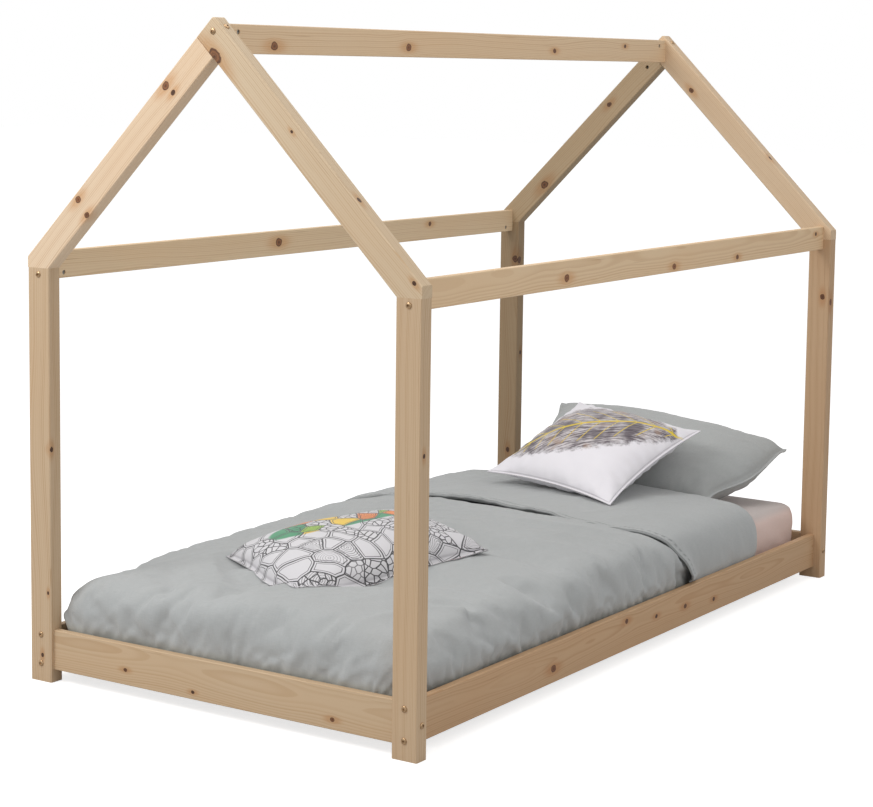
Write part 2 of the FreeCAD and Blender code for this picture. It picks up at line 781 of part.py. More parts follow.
def make_pillows(mattress_space, duvet_space):
    """The pillow at the head and two cushions, each resting on what lies below it."""
    top = number(f"{MATTRESS_BASE} + mattress_thickness")
    thick = number("pillow_thickness") / 2
    middle = spot("pillow_offset", f"{LONG_BOARD} / 2 - pillow_head_gap", f"{top} + pillow_lift")
    pillow = make_cushion(
        "pillow", number("pillow_width"), number("pillow_depth"), thick, thick,
        middle, (0, 3, 20), [(mattress_space, 0), (duvet_space, 1)],
    )
    thick = number("square_cushion_thickness") / 2
    side = number("square_cushion_side")
    middle = spot("square_cushion_offset", f"{FOLD_NOSE} - square_cushion_foot_shift",
                  f"{top} + square_cushion_lift")
    make_cushion(
        "square_cushion", side, side, thick, thick,
        middle, (-16, 0, 22), [(duvet_space, 0), (pillow.Shape, -1)],
    )
    thick = number("oblong_cushion_thickness")
    middle = spot("-oblong_cushion_offset", f"-{LONG_BOARD} / 2 + oblong_cushion_foot_gap",
                  f"{top} + oblong_cushion_lift")
    make_cushion(
        "oblong_cushion", number("oblong_cushion_length"), number("oblong_cushion_width"),
        thick * 0.6, thick * 0.4, middle, (72, 0, 0), [(duvet_space, 0)],
    )


# ---------------------------------------------------------------- assembly

for corner_end, corner_side in CORNERS:
    make_post(corner_end, corner_side)
for corner_end, corner_side in CORNERS:
    make_rafter(corner_end, corner_side)
for bed_side in (LEFT, RIGHT):
    make_side_rail(bed_side)
    make_eave_rail(bed_side)
    make_ledger(bed_side)
for bed_end in (FOOT, HEAD):
    make_end_rail(bed_end)
make_ridge()
for slat in range(int(number("slat_count"))):
    make_slat(slat)
make_fasteners()

mattress_piece = make_mattress()
duvet_piece = make_duvet()
make_pillows(mattress_piece.Shape, duvet_piece.Shape)

doc.recompute()
for item in doc.Objects:
    if "Invalid" in item.State or "Error" in item.State:
        raise RuntimeError(f"{item.Label} failed: {item.State}")
for item in parts:
    if item.Shape.isNull() or not item.Shape.isValid() or not item.Shape.Solids:
        raise RuntimeError(f"{item.Label} has no valid solid")

os.makedirs("parts", exist_ok=True)
for item in parts:
    item.Shape.exportStep(f"parts/{item.Label}.step")
print(f"{len(parts)} sub-parts written")
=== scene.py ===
"""House frame bed: the wood, the fasteners and the bedding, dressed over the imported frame.

Lengths are in metres. +X is the bed's width, +Y runs from the foot to the head, +Z is up.
"""
import math
from functools import reduce

import bmesh
import bpy
import numpy as np
from bpy.props import FloatProperty, FloatVectorProperty, PointerProperty
from mathutils import Matrix, Vector
from mathutils.bvhtree import BVHTree


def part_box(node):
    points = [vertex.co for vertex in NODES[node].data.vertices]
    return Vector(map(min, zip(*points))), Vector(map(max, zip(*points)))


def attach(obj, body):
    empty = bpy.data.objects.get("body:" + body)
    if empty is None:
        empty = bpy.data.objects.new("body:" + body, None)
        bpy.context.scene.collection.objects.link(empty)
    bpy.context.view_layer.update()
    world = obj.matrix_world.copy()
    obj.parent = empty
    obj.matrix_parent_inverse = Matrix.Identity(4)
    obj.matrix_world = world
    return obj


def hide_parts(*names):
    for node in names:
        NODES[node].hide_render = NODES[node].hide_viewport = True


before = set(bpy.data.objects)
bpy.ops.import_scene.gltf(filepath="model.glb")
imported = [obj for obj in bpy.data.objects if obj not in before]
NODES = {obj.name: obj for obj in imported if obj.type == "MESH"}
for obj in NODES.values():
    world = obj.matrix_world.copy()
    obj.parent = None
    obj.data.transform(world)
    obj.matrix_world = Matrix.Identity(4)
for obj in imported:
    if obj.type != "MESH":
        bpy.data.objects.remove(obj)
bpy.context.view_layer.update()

bl_info = {
    "name": "House Frame Bed",
    "version": (1, 0, 0),
    "blender": (4, 5, 0),
    "location": "View3D > Sidebar > House Bed",
    "description": "Wood, fasteners and bedding of a house frame bed",
    "category": "Object",
}


def tone(red, green, blue):
    """A colour as it is seen on screen, 0 to 255, turned into the linear one a shader takes."""
    return tuple(
        value / 255 / 12.92 if value < 10.3 else ((value / 255 + 0.055) / 1.055) ** 2.4
        for value in (red, green, blue)
    )


# ---------------------------------------------------------------- settings

def colour(name, description, value):
    return FloatVectorProperty(
        name=name, description=description, subtype="COLOR", size=3, min=0, max=1,
        default=tone(*value),
    )


def length(name, description, value):
    return FloatProperty(
        name=name, description=description, default=value, min=0, unit="LENGTH"
    )


def amount(name, description, value):
    return FloatProperty(name=name, description=description, default=value, min=0)


class WoodSettings(bpy.types.PropertyGroup):
    pale: colour("Early wood", "The pale wood between the growth rings", (208, 182, 150))
    ring: colour("Late wood", "The darker wood of the growth rings", (182, 146, 107))
    knot: colour("Knot", "The heart of a knot", (112, 70, 42))
    ring_gap: length("Ring spacing", "From one growth ring to the next", 0.0031)
    bump: length("Grain relief", "How far the rings stand out", 0.0001)


class MetalSettings(bpy.types.PropertyGroup):
    bronze: colour("Bolts", "Bronzed steel of the bolt heads", (184, 154, 120))
    steel: colour("Barrel nuts", "Zinc-plated steel", (150, 148, 142))


class BeddingSettings(bpy.types.PropertyGroup):
    duvet: colour("Duvet", "Washed cotton of the duvet cover", (180, 182, 182))
    pillow: colour("Pillow", "Washed cotton of the pillowcase", (181, 183, 182))
    sheet: colour("Fitted sheet", "Cotton of the fitted sheet", (234, 210, 201))
    cover: colour("Cushion covers", "Smooth white polyester", (238, 235, 240))
    ink: colour("Print ink", "Lines printed on the oblong cushion", (38, 36, 40))
    hem: length("Hem", "From the duvet's edge to its stitches", 0.020)
    crease: length("Creases", "Depth of the duvet's finer folds", 0.0042)


class StageSettings(bpy.types.PropertyGroup):
    floor: colour("Floor", "The plain floor", (212, 212, 212))
    key: amount("Key light", "Power of the large soft light, in watts", 66)
    fill: amount("Fill light", "Power of the light on the other side, in watts", 18)
    top: amount("Top light", "Power of the light overhead, in watts", 20)
    room: amount("Room light", "Strength of the light from all round", 0.50)


GROUPS = {
    "bed_wood": WoodSettings,
    "bed_metal": MetalSettings,
    "bed_bedding": BeddingSettings,
    "bed_stage": StageSettings,
}


def chosen(group):
    return getattr(bpy.context.scene, group)


# ---------------------------------------------------------------- shader maths

def math_node(operation, turned=False):
    """A method of Socket that adds one Math node, with the other value first if turned."""
    def method(self, *others):
        values = (*others, self) if turned else (self, *others)
        return self.nodes.node("ShaderNodeMath", {"operation": operation}, values)
    return method


class Socket:
    """One value in a node tree. Arithmetic on it adds Math nodes."""

    def __init__(self, nodes, output):
        self.nodes = nodes
        self.output = output

    __add__, __radd__ = math_node("ADD"), math_node("ADD", True)
    __sub__, __rsub__ = math_node("SUBTRACT"), math_node("SUBTRACT", True)
    __mul__, __rmul__ = math_node("MULTIPLY"), math_node("MULTIPLY", True)
    __truediv__, __rtruediv__ = math_node("DIVIDE"), math_node("DIVIDE", True)
    __abs__, root = math_node("ABSOLUTE"), math_node("SQRT")
    sine, fraction = math_node("SINE"), math_node("FRACT")
    least, most = math_node("MINIMUM"), math_node("MAXIMUM")

    def ramp(self, low, high):
        """0 at low, 1 at high, with a soft start and end. Low may be the larger of the two."""
        return self.nodes.node(
            "ShaderNodeMapRange", {"interpolation_type": "SMOOTHSTEP", "clamp": True},
            {"Value": self, "From Min": low, "From Max": high},
        )


class Nodes:
    """Adds nodes to a tree: a material's or the room's."""

    def __init__(self, tree):
        self.tree = tree

    def node(self, kind, settings=None, inputs=(), output=0):
        """Any node: its settings are set first, then its sockets' values and links."""
        node = self.tree.nodes.new(kind)
        for key, value in (settings or {}).items():
            if key == "bands":
                self.set_bands(node.color_ramp, value)
            else:
                setattr(node, key, value)
        pairs = inputs.items() if isinstance(inputs, dict) else enumerate(inputs)
        for key, value in pairs:
            socket = node.inputs[key]
            if isinstance(value, Socket):
                self.tree.links.new(value.output, socket)
            else:
                if socket.type == "RGBA" and len(value) == 3:
                    value = (*value, 1)
                socket.default_value = value
        return Socket(self, node.outputs[output])

    @staticmethod
    def set_bands(ramp, bands):
        """Bands of plain colour, each from its own place up to the next one's."""
        ramp.interpolation = "CONSTANT"
        while len(ramp.elements) < len(bands):
            ramp.elements.new(1)
        for element, (position, value) in zip(ramp.elements, bands):
            element.position = position
            element.color = (*value, 1)


class Shader(Nodes):
    """A material's nodes, all ending in one Principled shader."""

    def __init__(self, name, **constants):
        self.material = bpy.data.materials.new(name)
        self.material.use_nodes = True
        super().__init__(self.material.node_tree)
        self.surface = self.tree.nodes["Principled BSDF"]
        for socket, value in constants.items():
            self.surface.inputs[socket.replace("_", " ")].default_value = value

    def place(self):
        return self.node("ShaderNodeTexCoord", output="Object")

    def flat(self):
        """The parts of a point's place on the cloth before it was folded, in metres."""
        return self.split(self.node("ShaderNodeTexCoord", output="UV"))

    def marked(self, name):
        """The value that mark() stored under a name."""
        return self.node("ShaderNodeAttribute", {"attribute_name": name}, output=2)

    def split(self, vector):
        return [self.node("ShaderNodeSeparateXYZ", {}, (vector,), axis) for axis in range(3)]

    def join(self, x, y, z=0.0):
        return self.node("ShaderNodeCombineXYZ", {}, (x, y, z))

    def measure(self, vector, direction, origin):
        """How far a point lies from the origin along a direction."""
        shift = Vector(direction).dot(Vector(origin))
        return self.node(
            "ShaderNodeVectorMath", {"operation": "DOT_PRODUCT"}, (vector, tuple(direction)), 1
        ) - shift

    def noise(self, vector, scale, detail=2.0, roughness=0.5, distortion=0.0, kind="3D"):
        inputs = {"Scale": scale, "Detail": detail, "Roughness": roughness,
                  "Distortion": distortion}
        inputs["W" if kind == "1D" else "Vector"] = vector
        return self.node("ShaderNodeTexNoise", {"noise_dimensions": kind}, inputs)

    def grain(self, *axes, detail=2.0, roughness=0.5, distortion=0.0):
        """Noise over two or three axes that are each already scaled."""
        return self.noise(self.join(*axes), 1.0, detail, roughness, distortion)

    def cells(self, vector, scale, feature, output=0):
        return self.node(
            "ShaderNodeTexVoronoi", {"feature": feature, "voronoi_dimensions": "2D"},
            {"Vector": vector, "Scale": scale}, output,
        )

    def mix(self, first, second, factor, blend="MIX"):
        return self.node(
            "ShaderNodeMix", {"data_type": "RGBA", "blend_type": blend},
            {0: factor, 6: first, 7: second}, 2,
        )

    def layers(self, base, *coats):
        """A colour with others laid over it in turn, each with its share from 0 to 1."""
        for colour, share in coats:
            base = self.mix(base, colour, share)
        return base

    def bump(self, height, distance):
        return self.node("ShaderNodeBump", {}, {"Height": height, "Distance": distance})

    def finish(self, **links):
        """Links what varies over the surface, and returns the material."""
        for socket, value in links.items():
            self.tree.links.new(value.output, self.surface.inputs[socket.replace("_", " ")])
        return self.material


def dress(obj, material):
    obj.data.materials.clear()
    obj.data.materials.append(material)


# ---------------------------------------------------------------- pine

UP, ACROSS, ALONG = Vector((0, 0, 1)), Vector((1, 0, 0)), Vector((0, 1, 0))
SLOPE_LEFT = Vector((1, 0, 1)).normalized()
SLOPE_RIGHT = Vector((-1, 0, 1)).normalized()

# Each board: its direction, the direction across its wide face, where the tree's heart lies
# from its middle (across the wide face, through the board), and its knots. A knot is given by
# its place along the board and across its face, the face (through: "t", or an edge: "e", with
# a sign) and its half width, all in millimetres.
BOARDS = {
    "post_foot_left": (UP, ACROSS, (-0.050, 0.062), [
        (-396, 4, "-t", 4), (62, -12, "+e", 5), (-255, 22, "-t", 3)]),
    "post_foot_right": (UP, ACROSS, (0.085, 0.030), [(150, -4, "+e", 4)]),
    "post_head_left": (UP, ACROSS, (0.040, 0.075), [
        (348, 20, "-t", 8), (345, -10, "+e", 8), (75, 3, "+e", 5), (-210, 5, "-t", 6)]),
    "post_head_right": (UP, ACROSS, (-0.080, 0.030), [
        (302, 12, "-t", 6), (288, -5, "+e", 7)]),
    "rafter_foot_left": (SLOPE_LEFT, -SLOPE_RIGHT, (0.070, 0.040), [
        (173, -17, "-t", 8), (178, 6, "-t", 5), (-168, -16, "-t", 7), (-173, 23, "-t", 6)]),
    "rafter_foot_right": (SLOPE_RIGHT, SLOPE_LEFT, (-0.060, 0.050), [
        (300, -25, "-t", 14), (-345, 20, "-t", 4), (-140, -6, "+e", 5), (60, 10, "-t", 3)]),
    "rafter_head_left": (SLOPE_LEFT, -SLOPE_RIGHT, (0.050, 0.060), [
        (-198, 11, "-t", 10), (110, -8, "-t", 6)]),
    "rafter_head_right": (SLOPE_RIGHT, SLOPE_LEFT, (0.080, 0.045), [
        (-101, -10, "+e", 5), (190, -12, "-t", 6)]),
    "ridge_beam": (ALONG, UP, (0.060, -0.050), [
        (-795, -13, "+t", 9), (-300, -8, "+t", 8), (352, -7, "+t", 6), (720, 10, "+t", 5)]),
    "eave_rail_left": (ALONG, UP, (-0.045, -0.040), [
        (-151, 2, "+t", 10), (520, 12, "+t", 6)]),
    "eave_rail_right": (ALONG, UP, (0.020, -0.050), [
        (-400, -8, "+t", 8), (97, -17, "+t", 7), (432, -17, "+t", 6), (901, 13, "+t", 5)]),
    "side_rail_left": (ALONG, UP, (-0.030, -0.035), [
        (-620, 20, "+t", 8), (180, -14, "-t", 9), (560, 6, "-t", 6)]),
    "side_rail_right": (ALONG, UP, (0.012, -0.026), [
        (-425, -13, "+t", 8), (-96, 24, "+t", 6), (50, 6, "+t", 5), (198, 0, "+t", 6),
        (352, -13, "+t", 5)]),
    "end_rail_foot": (ACROSS, UP, (0.018, 0.075), [
        (-245, -11, "-t", 6), (-59, -28, "-t", 5), (301, -23, "-t", 7)]),
    "end_rail_head": (ACROSS, UP, (-0.030, -0.040), [
        (-180, 14, "+t", 7), (150, -18, "+t", 6), (260, 20, "-t", 6)]),
    "slat_ledger_left": (ALONG, UP, (0.030, 0.040), []),
    "slat_ledger_right": (ALONG, UP, (0.030, -0.040), []),
}
# painted light and shade: the roof boards are made lighter as if lit from above, the rear left
# post and rafter at the head end darker as if in shade
BOARD_TONE_AND_PAINTED_LIGHT = {                 # how light and how warm each board looks: partly its own wood tone, partly painted light and shade
    "post_foot_left": (0.94, 0.94, 0.94), "post_foot_right": (0.95, 0.94, 0.93),
    "post_head_left": (0.49, 0.47, 0.42), "post_head_right": (0.88, 0.80, 0.74),
    "rafter_foot_left": (1.24, 1.30, 1.42), "rafter_foot_right": (1.03, 1.09, 1.14),
    "rafter_head_left": (0.66, 0.66, 0.62), "rafter_head_right": (1.12, 1.15, 1.20),
    "ridge_beam": (1.27, 1.28, 1.28), "eave_rail_left": (1.20, 1.25, 1.26),
    "eave_rail_right": (1.26, 1.26, 1.23), "end_rail_foot": (0.95, 0.94, 0.92),
    "side_rail_right": (0.88, 0.78, 0.69),
}
BOARD_HALF = {                 # half the width and half the thickness of each kind of board
    "post": (0.030, 0.0175), "rafter": (0.030, 0.0175), "ridge": (0.030, 0.009),
    "eave": (0.030, 0.009), "side": (0.044, 0.009), "end": (0.044, 0.009),
    "slat": (0.009, 0.009),    # a ledger: the slats themselves are below
}
SLATS, SLAT_HALF = 14, (0.035, 0.0075)
GABLE_TOP = 1.44285            # where the upper faces of two rafters would meet
RAFTER_IN = 0.0212             # from a rafter's upper face to its middle, along X or Z
KNOT_LENGTH = 1.25             # along the grain, for each unit across it
KNOT_DEPTH = {"t": 0.060, "e": 0.030}


def knot_fields(point, half, knots):
    """What the knots do to the wood.

    Returns how far they push the rings aside, across the face and through the board, how near
    the nearest knot is in knot widths, how strongly the wood round them is tinted and how dark
    they are. The grain runs round a knot as water runs round a stone: a line that would pass
    through it is moved aside by its distance from the knot's middle over the square of the
    distance in knot widths.
    """
    along, wide, thick = point
    pushes = {"t": [], "e": []}
    nears, glows, darks = [], [], []
    for at, across, (sign, way), size in knots:
        depth_axis, depth_half = (thick, half[1]) if way == "t" else (wide, half[0])
        cross = (wide if way == "t" else thick) - across / 1000
        depth = KNOT_DEPTH[way]
        side = 1 if sign == "+" else -1
        taper = ((side * depth_axis - (depth_half - depth)) / depth).most(0.02).least(1.0)
        radius = taper * (size / 1000)
        run = (along - at / 1000) / KNOT_LENGTH
        far = (run * run + cross * cross).root() / radius
        stretched = (run * run * 0.16 + cross * cross).root() / radius
        pushes[way].append(cross / (far * far).most(1.0))
        nears.append(far)
        glows.append(stretched.ramp(2.6, 0.7) * far.ramp(7.0, 1.0))
        # small knots are dead and dark, large ones are mostly live
        darks.append(far.ramp(1.8, 1.4) * (1.0 if size < 6 else 0.55 if size == 6 else 0.12))
    return (sum(pushes["t"]), sum(pushes["e"]), reduce(Socket.least, nears),
            reduce(Socket.most, glows), reduce(Socket.most, darks))


def pine(node, along, wide, heart, knots, half, seed):
    """Planed pine: growth rings cut lengthwise, fine fibres and knots in the grain."""
    wood = chosen("bed_wood")
    shader = Shader(f"pine_{node}", Roughness=0.55, IOR=1.45)
    place, middle = shader.place(), middle_of(node)
    u, v, w = (shader.measure(place, way, middle) for way in (along, wide, along.cross(wide)))

    wander = shader.noise(u + seed * 7.3, 1.3, 1.0, kind="1D") - 0.5
    drift = shader.noise(u + seed * 3.1 + 40.0, 1.7, 1.5, kind="1D") - 0.5
    ring_v, ring_w = v - heart[0] + wander * 0.030, w - heart[1] + drift * 0.022
    if knots:
        push_v, push_w, near_knot, flare, darkness = knot_fields((u, v, w), half, knots)
        ring_v, ring_w = ring_v - push_v, ring_w - push_w
    wobble = shader.grain(u * 3.5 + seed, v * 22.0, w * 22.0) - 0.5
    radius = (ring_v * ring_v + ring_w * ring_w).root() + u * 0.004 + wobble * 0.0050
    turn = radius / wood.ring_gap
    phase = turn.fraction()
    # some years grow darker rings than others
    year = shader.noise(turn * 0.37 + seed, 1.0, 2.0, kind="1D").ramp(0.34, 0.70)
    late = phase.ramp(0.25, 0.86) * phase.ramp(1.0, 0.93) * (0.25 + 0.75 * year)

    fibre = shader.grain(u * 14.0, v * 900.0, w * 900.0, detail=3.0, roughness=0.6)
    cloud = shader.grain(u * 2.2 + seed, v * 9.0, w * 9.0)
    streak = shader.grain(u * 5.0 + seed, v * 260.0, w * 260.0)
    colour = shader.layers(
        wood.pale,
        (wood.ring, late * 0.70),
        (tone(205, 168, 128), (cloud - 0.40) * 0.9),
        (tone(176, 140, 102), fibre.ramp(0.56, 0.86) * 0.32),
        (tone(150, 108, 70), streak.ramp(0.69, 0.80) * 0.45),
    )
    rough = 0.50 + fibre * 0.16
    height = late * 0.5 + fibre * 0.5
    if knots:
        speck = shader.noise(place, 420.0, 2.0) - 0.5
        lobes = shader.noise(place, 95.0, 1.0) - 0.5
        rim = near_knot + speck * 0.22 + lobes * 0.55
        inside = rim.ramp(1.10, 0.90)
        band = ((near_knot * 13.0 + lobes * 6.0).sine() * 0.5 + 0.5) * 0.5
        core = shader.layers(
            wood.knot,
            (tone(158, 104, 62), band + speck),
            (tone(70, 40, 24), rim.ramp(0.66, 0.95) * 0.8),
            (tone(62, 36, 22), near_knot.ramp(0.34, 0.08) * 0.8),
            (tone(52, 32, 20), darkness * (0.9 - band * 0.5)),
        )
        colour = shader.layers(
            colour, (tone(186, 136, 88), flare * (0.62 + speck * 0.5)), (core, inside)
        )
        rough = rough - inside * 0.10
        height = height - inside * 0.6
    # painted light and shade: each board's colour is multiplied by its entry in the table of
    # tints
    colour = shader.mix(colour, BOARD_TONE_AND_PAINTED_LIGHT.get(node, (1.0, 1.0, 1.0)), 1.0, "MULTIPLY")
    return shader.finish(
        Base_Color=colour, Roughness=rough, Normal=shader.bump(height, wood.bump)
    )


def middle_of(node):
    """The middle of a board. A rafter's box is larger than the board it holds."""
    low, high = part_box(node)
    if not node.startswith("rafter"):
        return (low + high) / 2
    side = 1 if node.endswith("right") else -1
    half = max(abs(low.x), abs(high.x)) / 2
    return Vector((
        side * (half - RAFTER_IN), (low.y + high.y) / 2, GABLE_TOP - half - RAFTER_IN
    ))


def slat(index):
    """A slat's line for the table of boards: its heart and its one knot go by its number."""
    heart = (0.010 * (index % 5 - 2), -0.030 if index % 2 else 0.030)
    return ACROSS, ALONG, heart, [((index * 271) % 700 - 350, (index * 37) % 40 - 20, "+t", 6)]


class BED_OT_finish_wood(bpy.types.Operator):
    """Give every board of the bed its own pine grain and knots"""
    bl_idname = "bed.finish_wood"
    bl_label = "Pine"

    def execute(self, context):
        for seed, (node, board) in enumerate(BOARDS.items(), start=1):
            dress(NODES[node], pine(node, *board, BOARD_HALF[node.split("_")[0]], seed))
        for index in range(1, SLATS + 1):
            node = f"slat_{index:02d}"
            dress(NODES[node], pine(node, *slat(index), SLAT_HALF, 20 + index))
        return {"FINISHED"}


# ---------------------------------------------------------------- fasteners

def pick(piece):
    """Makes a piece the only selected one, and the active one."""
    bpy.ops.object.select_all(action="DESELECT")
    piece.select_set(True)
    bpy.context.view_layer.objects.active = piece


def add(name, data):
    """A new object in the scene."""
    piece = bpy.data.objects.new(name, data)
    bpy.context.scene.collection.objects.link(piece)
    return piece


def smooth(mesh):
    mesh.polygons.foreach_set("use_smooth", [True] * len(mesh.polygons))


def edit(select):
    """Enters edit mode on the active object with only some of its faces selected."""
    bpy.ops.object.mode_set(mode="EDIT")
    bpy.ops.mesh.select_mode(type="FACE")
    bpy.ops.mesh.select_all(action="DESELECT")
    choose(select)


def choose(select):
    """Selects the faces for which select(centre, normal) is true, and no others."""
    mesh = bpy.context.object.data
    shape = bmesh.from_edit_mesh(mesh)
    for face in shape.faces:
        face.select_set(bool(select(face.calc_center_median(), face.normal)))
    shape.select_flush(True)
    bmesh.update_edit_mesh(mesh)


def leave():
    bpy.ops.object.mode_set(mode="OBJECT")


def round_bar(name, radius, low, high, sides):
    """A cylinder along Z between two heights, as a new active object."""
    bpy.ops.mesh.primitive_cylinder_add(
        vertices=sides, radius=radius, depth=high - low, location=(0, 0, (low + high) / 2)
    )
    bar = bpy.context.object
    bar.name = bar.data.name = name
    bpy.ops.object.transform_apply(location=True, rotation=False, scale=False)
    return bar


def square_block(name, size, middle):
    """A block of a size about a middle, as a new active object."""
    bpy.ops.mesh.primitive_cube_add(size=1, location=middle)
    block = bpy.context.object
    block.name = block.data.name = name
    block.scale = size
    bpy.ops.object.transform_apply(location=True, rotation=False, scale=True)
    return block


def cut_away(piece, tool):
    """Takes the tool's shape out of the piece, and removes the tool."""
    cut = piece.modifiers.new("cut", "BOOLEAN")
    cut.operation, cut.solver, cut.object = "DIFFERENCE", "EXACT", tool
    pick(piece)
    bpy.ops.object.modifier_apply(modifier=cut.name)
    bpy.data.objects.remove(tool)


def solids_of(node):
    """The separate solids of a CAD node, each as an array of its corner points."""
    shape = bmesh.new()
    shape.from_mesh(NODES[node].data)
    bmesh.ops.remove_doubles(shape, verts=shape.verts, dist=1e-6)
    left = set(shape.verts)
    solids = []
    while left:
        group, edge = set(), [left.pop()]
        while edge:
            vert = edge.pop()
            group.add(vert)
            for link in vert.link_edges:
                other = link.other_vert(vert)
                if other in left:
                    left.remove(other)
                    edge.append(other)
        solids.append(np.array([vert.co[:] for vert in group]))
    shape.free()
    return sorted(solids, key=lambda points: tuple(points.mean(0).round(4)))


def long_axis(points):
    """The direction in which a solid's points spread furthest, and their middle."""
    middle = (points.max(0) + points.min(0)) / 2
    _, _, directions = np.linalg.svd(points - points.mean(0))
    return Vector(directions[0]).normalized(), Vector(middle)


def bolt_place(points):
    """Where a bolt's seat is and which way its head looks, from its CAD solid."""
    axis, _ = long_axis(points)
    along = points @ np.array(axis)
    off = points - np.outer(along, np.array(axis))
    centre = (off.max(0) + off.min(0)) / 2
    spread = np.linalg.norm(off - centre, axis=1)
    head = along[spread > spread.max() * 0.9]
    if head.mean() < along.mean():
        axis, along, head = -axis, -along, -head
    seat = centre + np.array(axis) * head.min()
    return Vector(seat), axis, head.min() - along.min()


def copies(pattern, name, places):
    """One piece out of turned copies of a pattern: each place is a point and a direction."""
    whole = bmesh.new()
    for point, direction in places:
        turn = direction.to_track_quat("Z", "Y").to_matrix().to_4x4()
        part = pattern.data.copy()
        part.transform(Matrix.Translation(point) @ turn)
        whole.from_mesh(part)
        bpy.data.meshes.remove(part)
    mesh = bpy.data.meshes.new(name)
    whole.to_mesh(mesh)
    whole.free()
    smooth(mesh)
    return add(name, mesh)


def set_fasteners(pattern, node, name, places, material):
    """Sets copies of a pattern at their places, and says which CAD node they stand for."""
    piece = copies(pattern, name, places)
    pick(piece)
    bpy.ops.object.shade_smooth_by_angle(angle=math.radians(35))
    dress(piece, material)
    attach(piece, "frame")
    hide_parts(node)


HEAD_RADIUS, HEAD_RIM = 0.0065, 0.0012      # a bolt's head, and the upright rim round it
DOME_RADIUS = 0.0055                        # a middling radius of the dome over that rim
SHANK_IN = 0.0035                           # from the head's side in to the shank's
SOCKET_RADIUS, SOCKET_FLOOR = 0.0023, 0.0007
NUT_RADIUS, NUT_END = 0.005, 0.007          # a barrel nut, and its end from its middle
NUT_EDGE = 0.0006                           # from its side in to the inner ring of an end


def bolt_pattern(shank):
    """A furniture bolt: a domed head with a hexagon socket over a plain shank."""
    bolt = round_bar("bolt_pattern", HEAD_RADIUS, 0.0, HEAD_RIM, 32)
    edit(lambda centre, normal: normal.z > 0.9)
    # the dome, ring by ring: how far in and how far up
    for inward, rise in ((0.0004, 0.0007), (0.0008, 0.0006), (0.0013, 0.0004)):
        share = 1 - inward / DOME_RADIUS
        bpy.ops.mesh.extrude_region_move(TRANSFORM_OT_translate={"value": (0, 0, rise)})
        bpy.ops.transform.resize(value=(share, share, 1), center_override=(0, 0, 0))
    choose(lambda centre, normal: normal.z < -0.9 and centre.z < 1e-5)
    bpy.ops.mesh.inset(thickness=SHANK_IN)
    bpy.ops.mesh.extrude_region_move(TRANSFORM_OT_translate={"value": (0, 0, -shank)})
    leave()
    cut_away(bolt, round_bar("socket", SOCKET_RADIUS, SOCKET_FLOOR, 0.006, 6))
    return bolt


def nut_pattern():
    """A barrel nut: a short bar with a screwdriver slot across each end."""
    nut = round_bar("nut_pattern", NUT_RADIUS, -NUT_END, NUT_END, 32)
    edit(lambda centre, normal: abs(normal.z) > 0.9)
    bpy.ops.mesh.inset(thickness=NUT_EDGE)
    leave()
    for side in (1, -1):
        cut_away(nut, square_block("slot", (0.012, 0.0012, 0.0020), (0, 0, side * NUT_END)))
    return nut


def metal(name, colour, roughness, dark):
    """Plated steel with a thin, uneven film that is darker in patches."""
    shader = Shader(name, Metallic=1.0)
    place = shader.place()
    patch = shader.noise(place, 260.0, 3.0)
    scratch = shader.noise(place, 1400.0, 2.0)
    base = shader.mix(colour, dark, patch.ramp(0.42, 0.72) * 0.6)
    rough = roughness + patch * 0.14 + scratch * 0.06
    bump = shader.bump(scratch, 0.00004)
    return shader.finish(Base_Color=base, Roughness=rough, Normal=bump)


BOLT_NODES = ("side_rail_bolts", "eave_rail_bolts", "ridge_bolts", "end_rail_bolts",
              "apex_bolts")
NUT_NODES = ("eave_rail_nuts", "ridge_nuts", "apex_nuts")


class BED_OT_make_bolts(bpy.types.Operator):
    """Model one socket bolt and set it at every joint"""
    bl_idname = "bed.make_bolts"
    bl_label = "Bolts"

    def execute(self, context):
        material = metal("bronze", chosen("bed_metal").bronze, 0.20, tone(104, 80, 58))
        for node in BOLT_NODES:
            places = [bolt_place(points) for points in solids_of(node)]
            pattern = bolt_pattern(places[0][2])
            set_fasteners(pattern, node, f"{node}_socket", [place[:2] for place in places],
                          material)
            bpy.data.objects.remove(pattern)
        return {"FINISHED"}


class BED_OT_make_nuts(bpy.types.Operator):
    """Model one slotted barrel nut and set it in every open nut hole"""
    bl_idname = "bed.make_nuts"
    bl_label = "Barrel nuts"

    def execute(self, context):
        material = metal("zinc", chosen("bed_metal").steel, 0.34, tone(100, 98, 92))
        pattern = nut_pattern()
        for node in NUT_NODES:
            places = [long_axis(points)[::-1] for points in solids_of(node)]
            set_fasteners(pattern, node, f"{node}_slotted", places, material)
        bpy.data.objects.remove(pattern)
        return {"FINISHED"}


# ---------------------------------------------------------------- cloth in code

class Ripples:
    """Smooth random waves over a flat sheet, between about -1 and 1, the same each run."""

    def __init__(self, seed):
        random = np.random.default_rng(seed)
        self.order = np.tile(random.permutation(256), 2)
        turn = random.random(256) * 2 * np.pi
        self.slope = np.stack([np.cos(turn), np.sin(turn)], 1)

    def __call__(self, x, y):
        column, row = np.floor(x).astype(int), np.floor(y).astype(int)
        fx, fy = x - column, y - row
        ease_x, ease_y = (t * t * t * (t * (t * 6 - 15) + 10) for t in (fx, fy))

        def corner(dx, dy):
            index = self.order[self.order[(column + dx) % 256] + (row + dy) % 256]
            slope = self.slope[index]
            return slope[..., 0] * (fx - dx) + slope[..., 1] * (fy - dy)

        low = corner(0, 0) * (1 - ease_x) + corner(1, 0) * ease_x
        high = corner(0, 1) * (1 - ease_x) + corner(1, 1) * ease_x
        return (low * (1 - ease_y) + high * ease_y) * 1.5


def smooth_step(low, high, value):
    t = np.clip((value - low) / (high - low), 0, 1)
    return t * t * (3 - 2 * t)


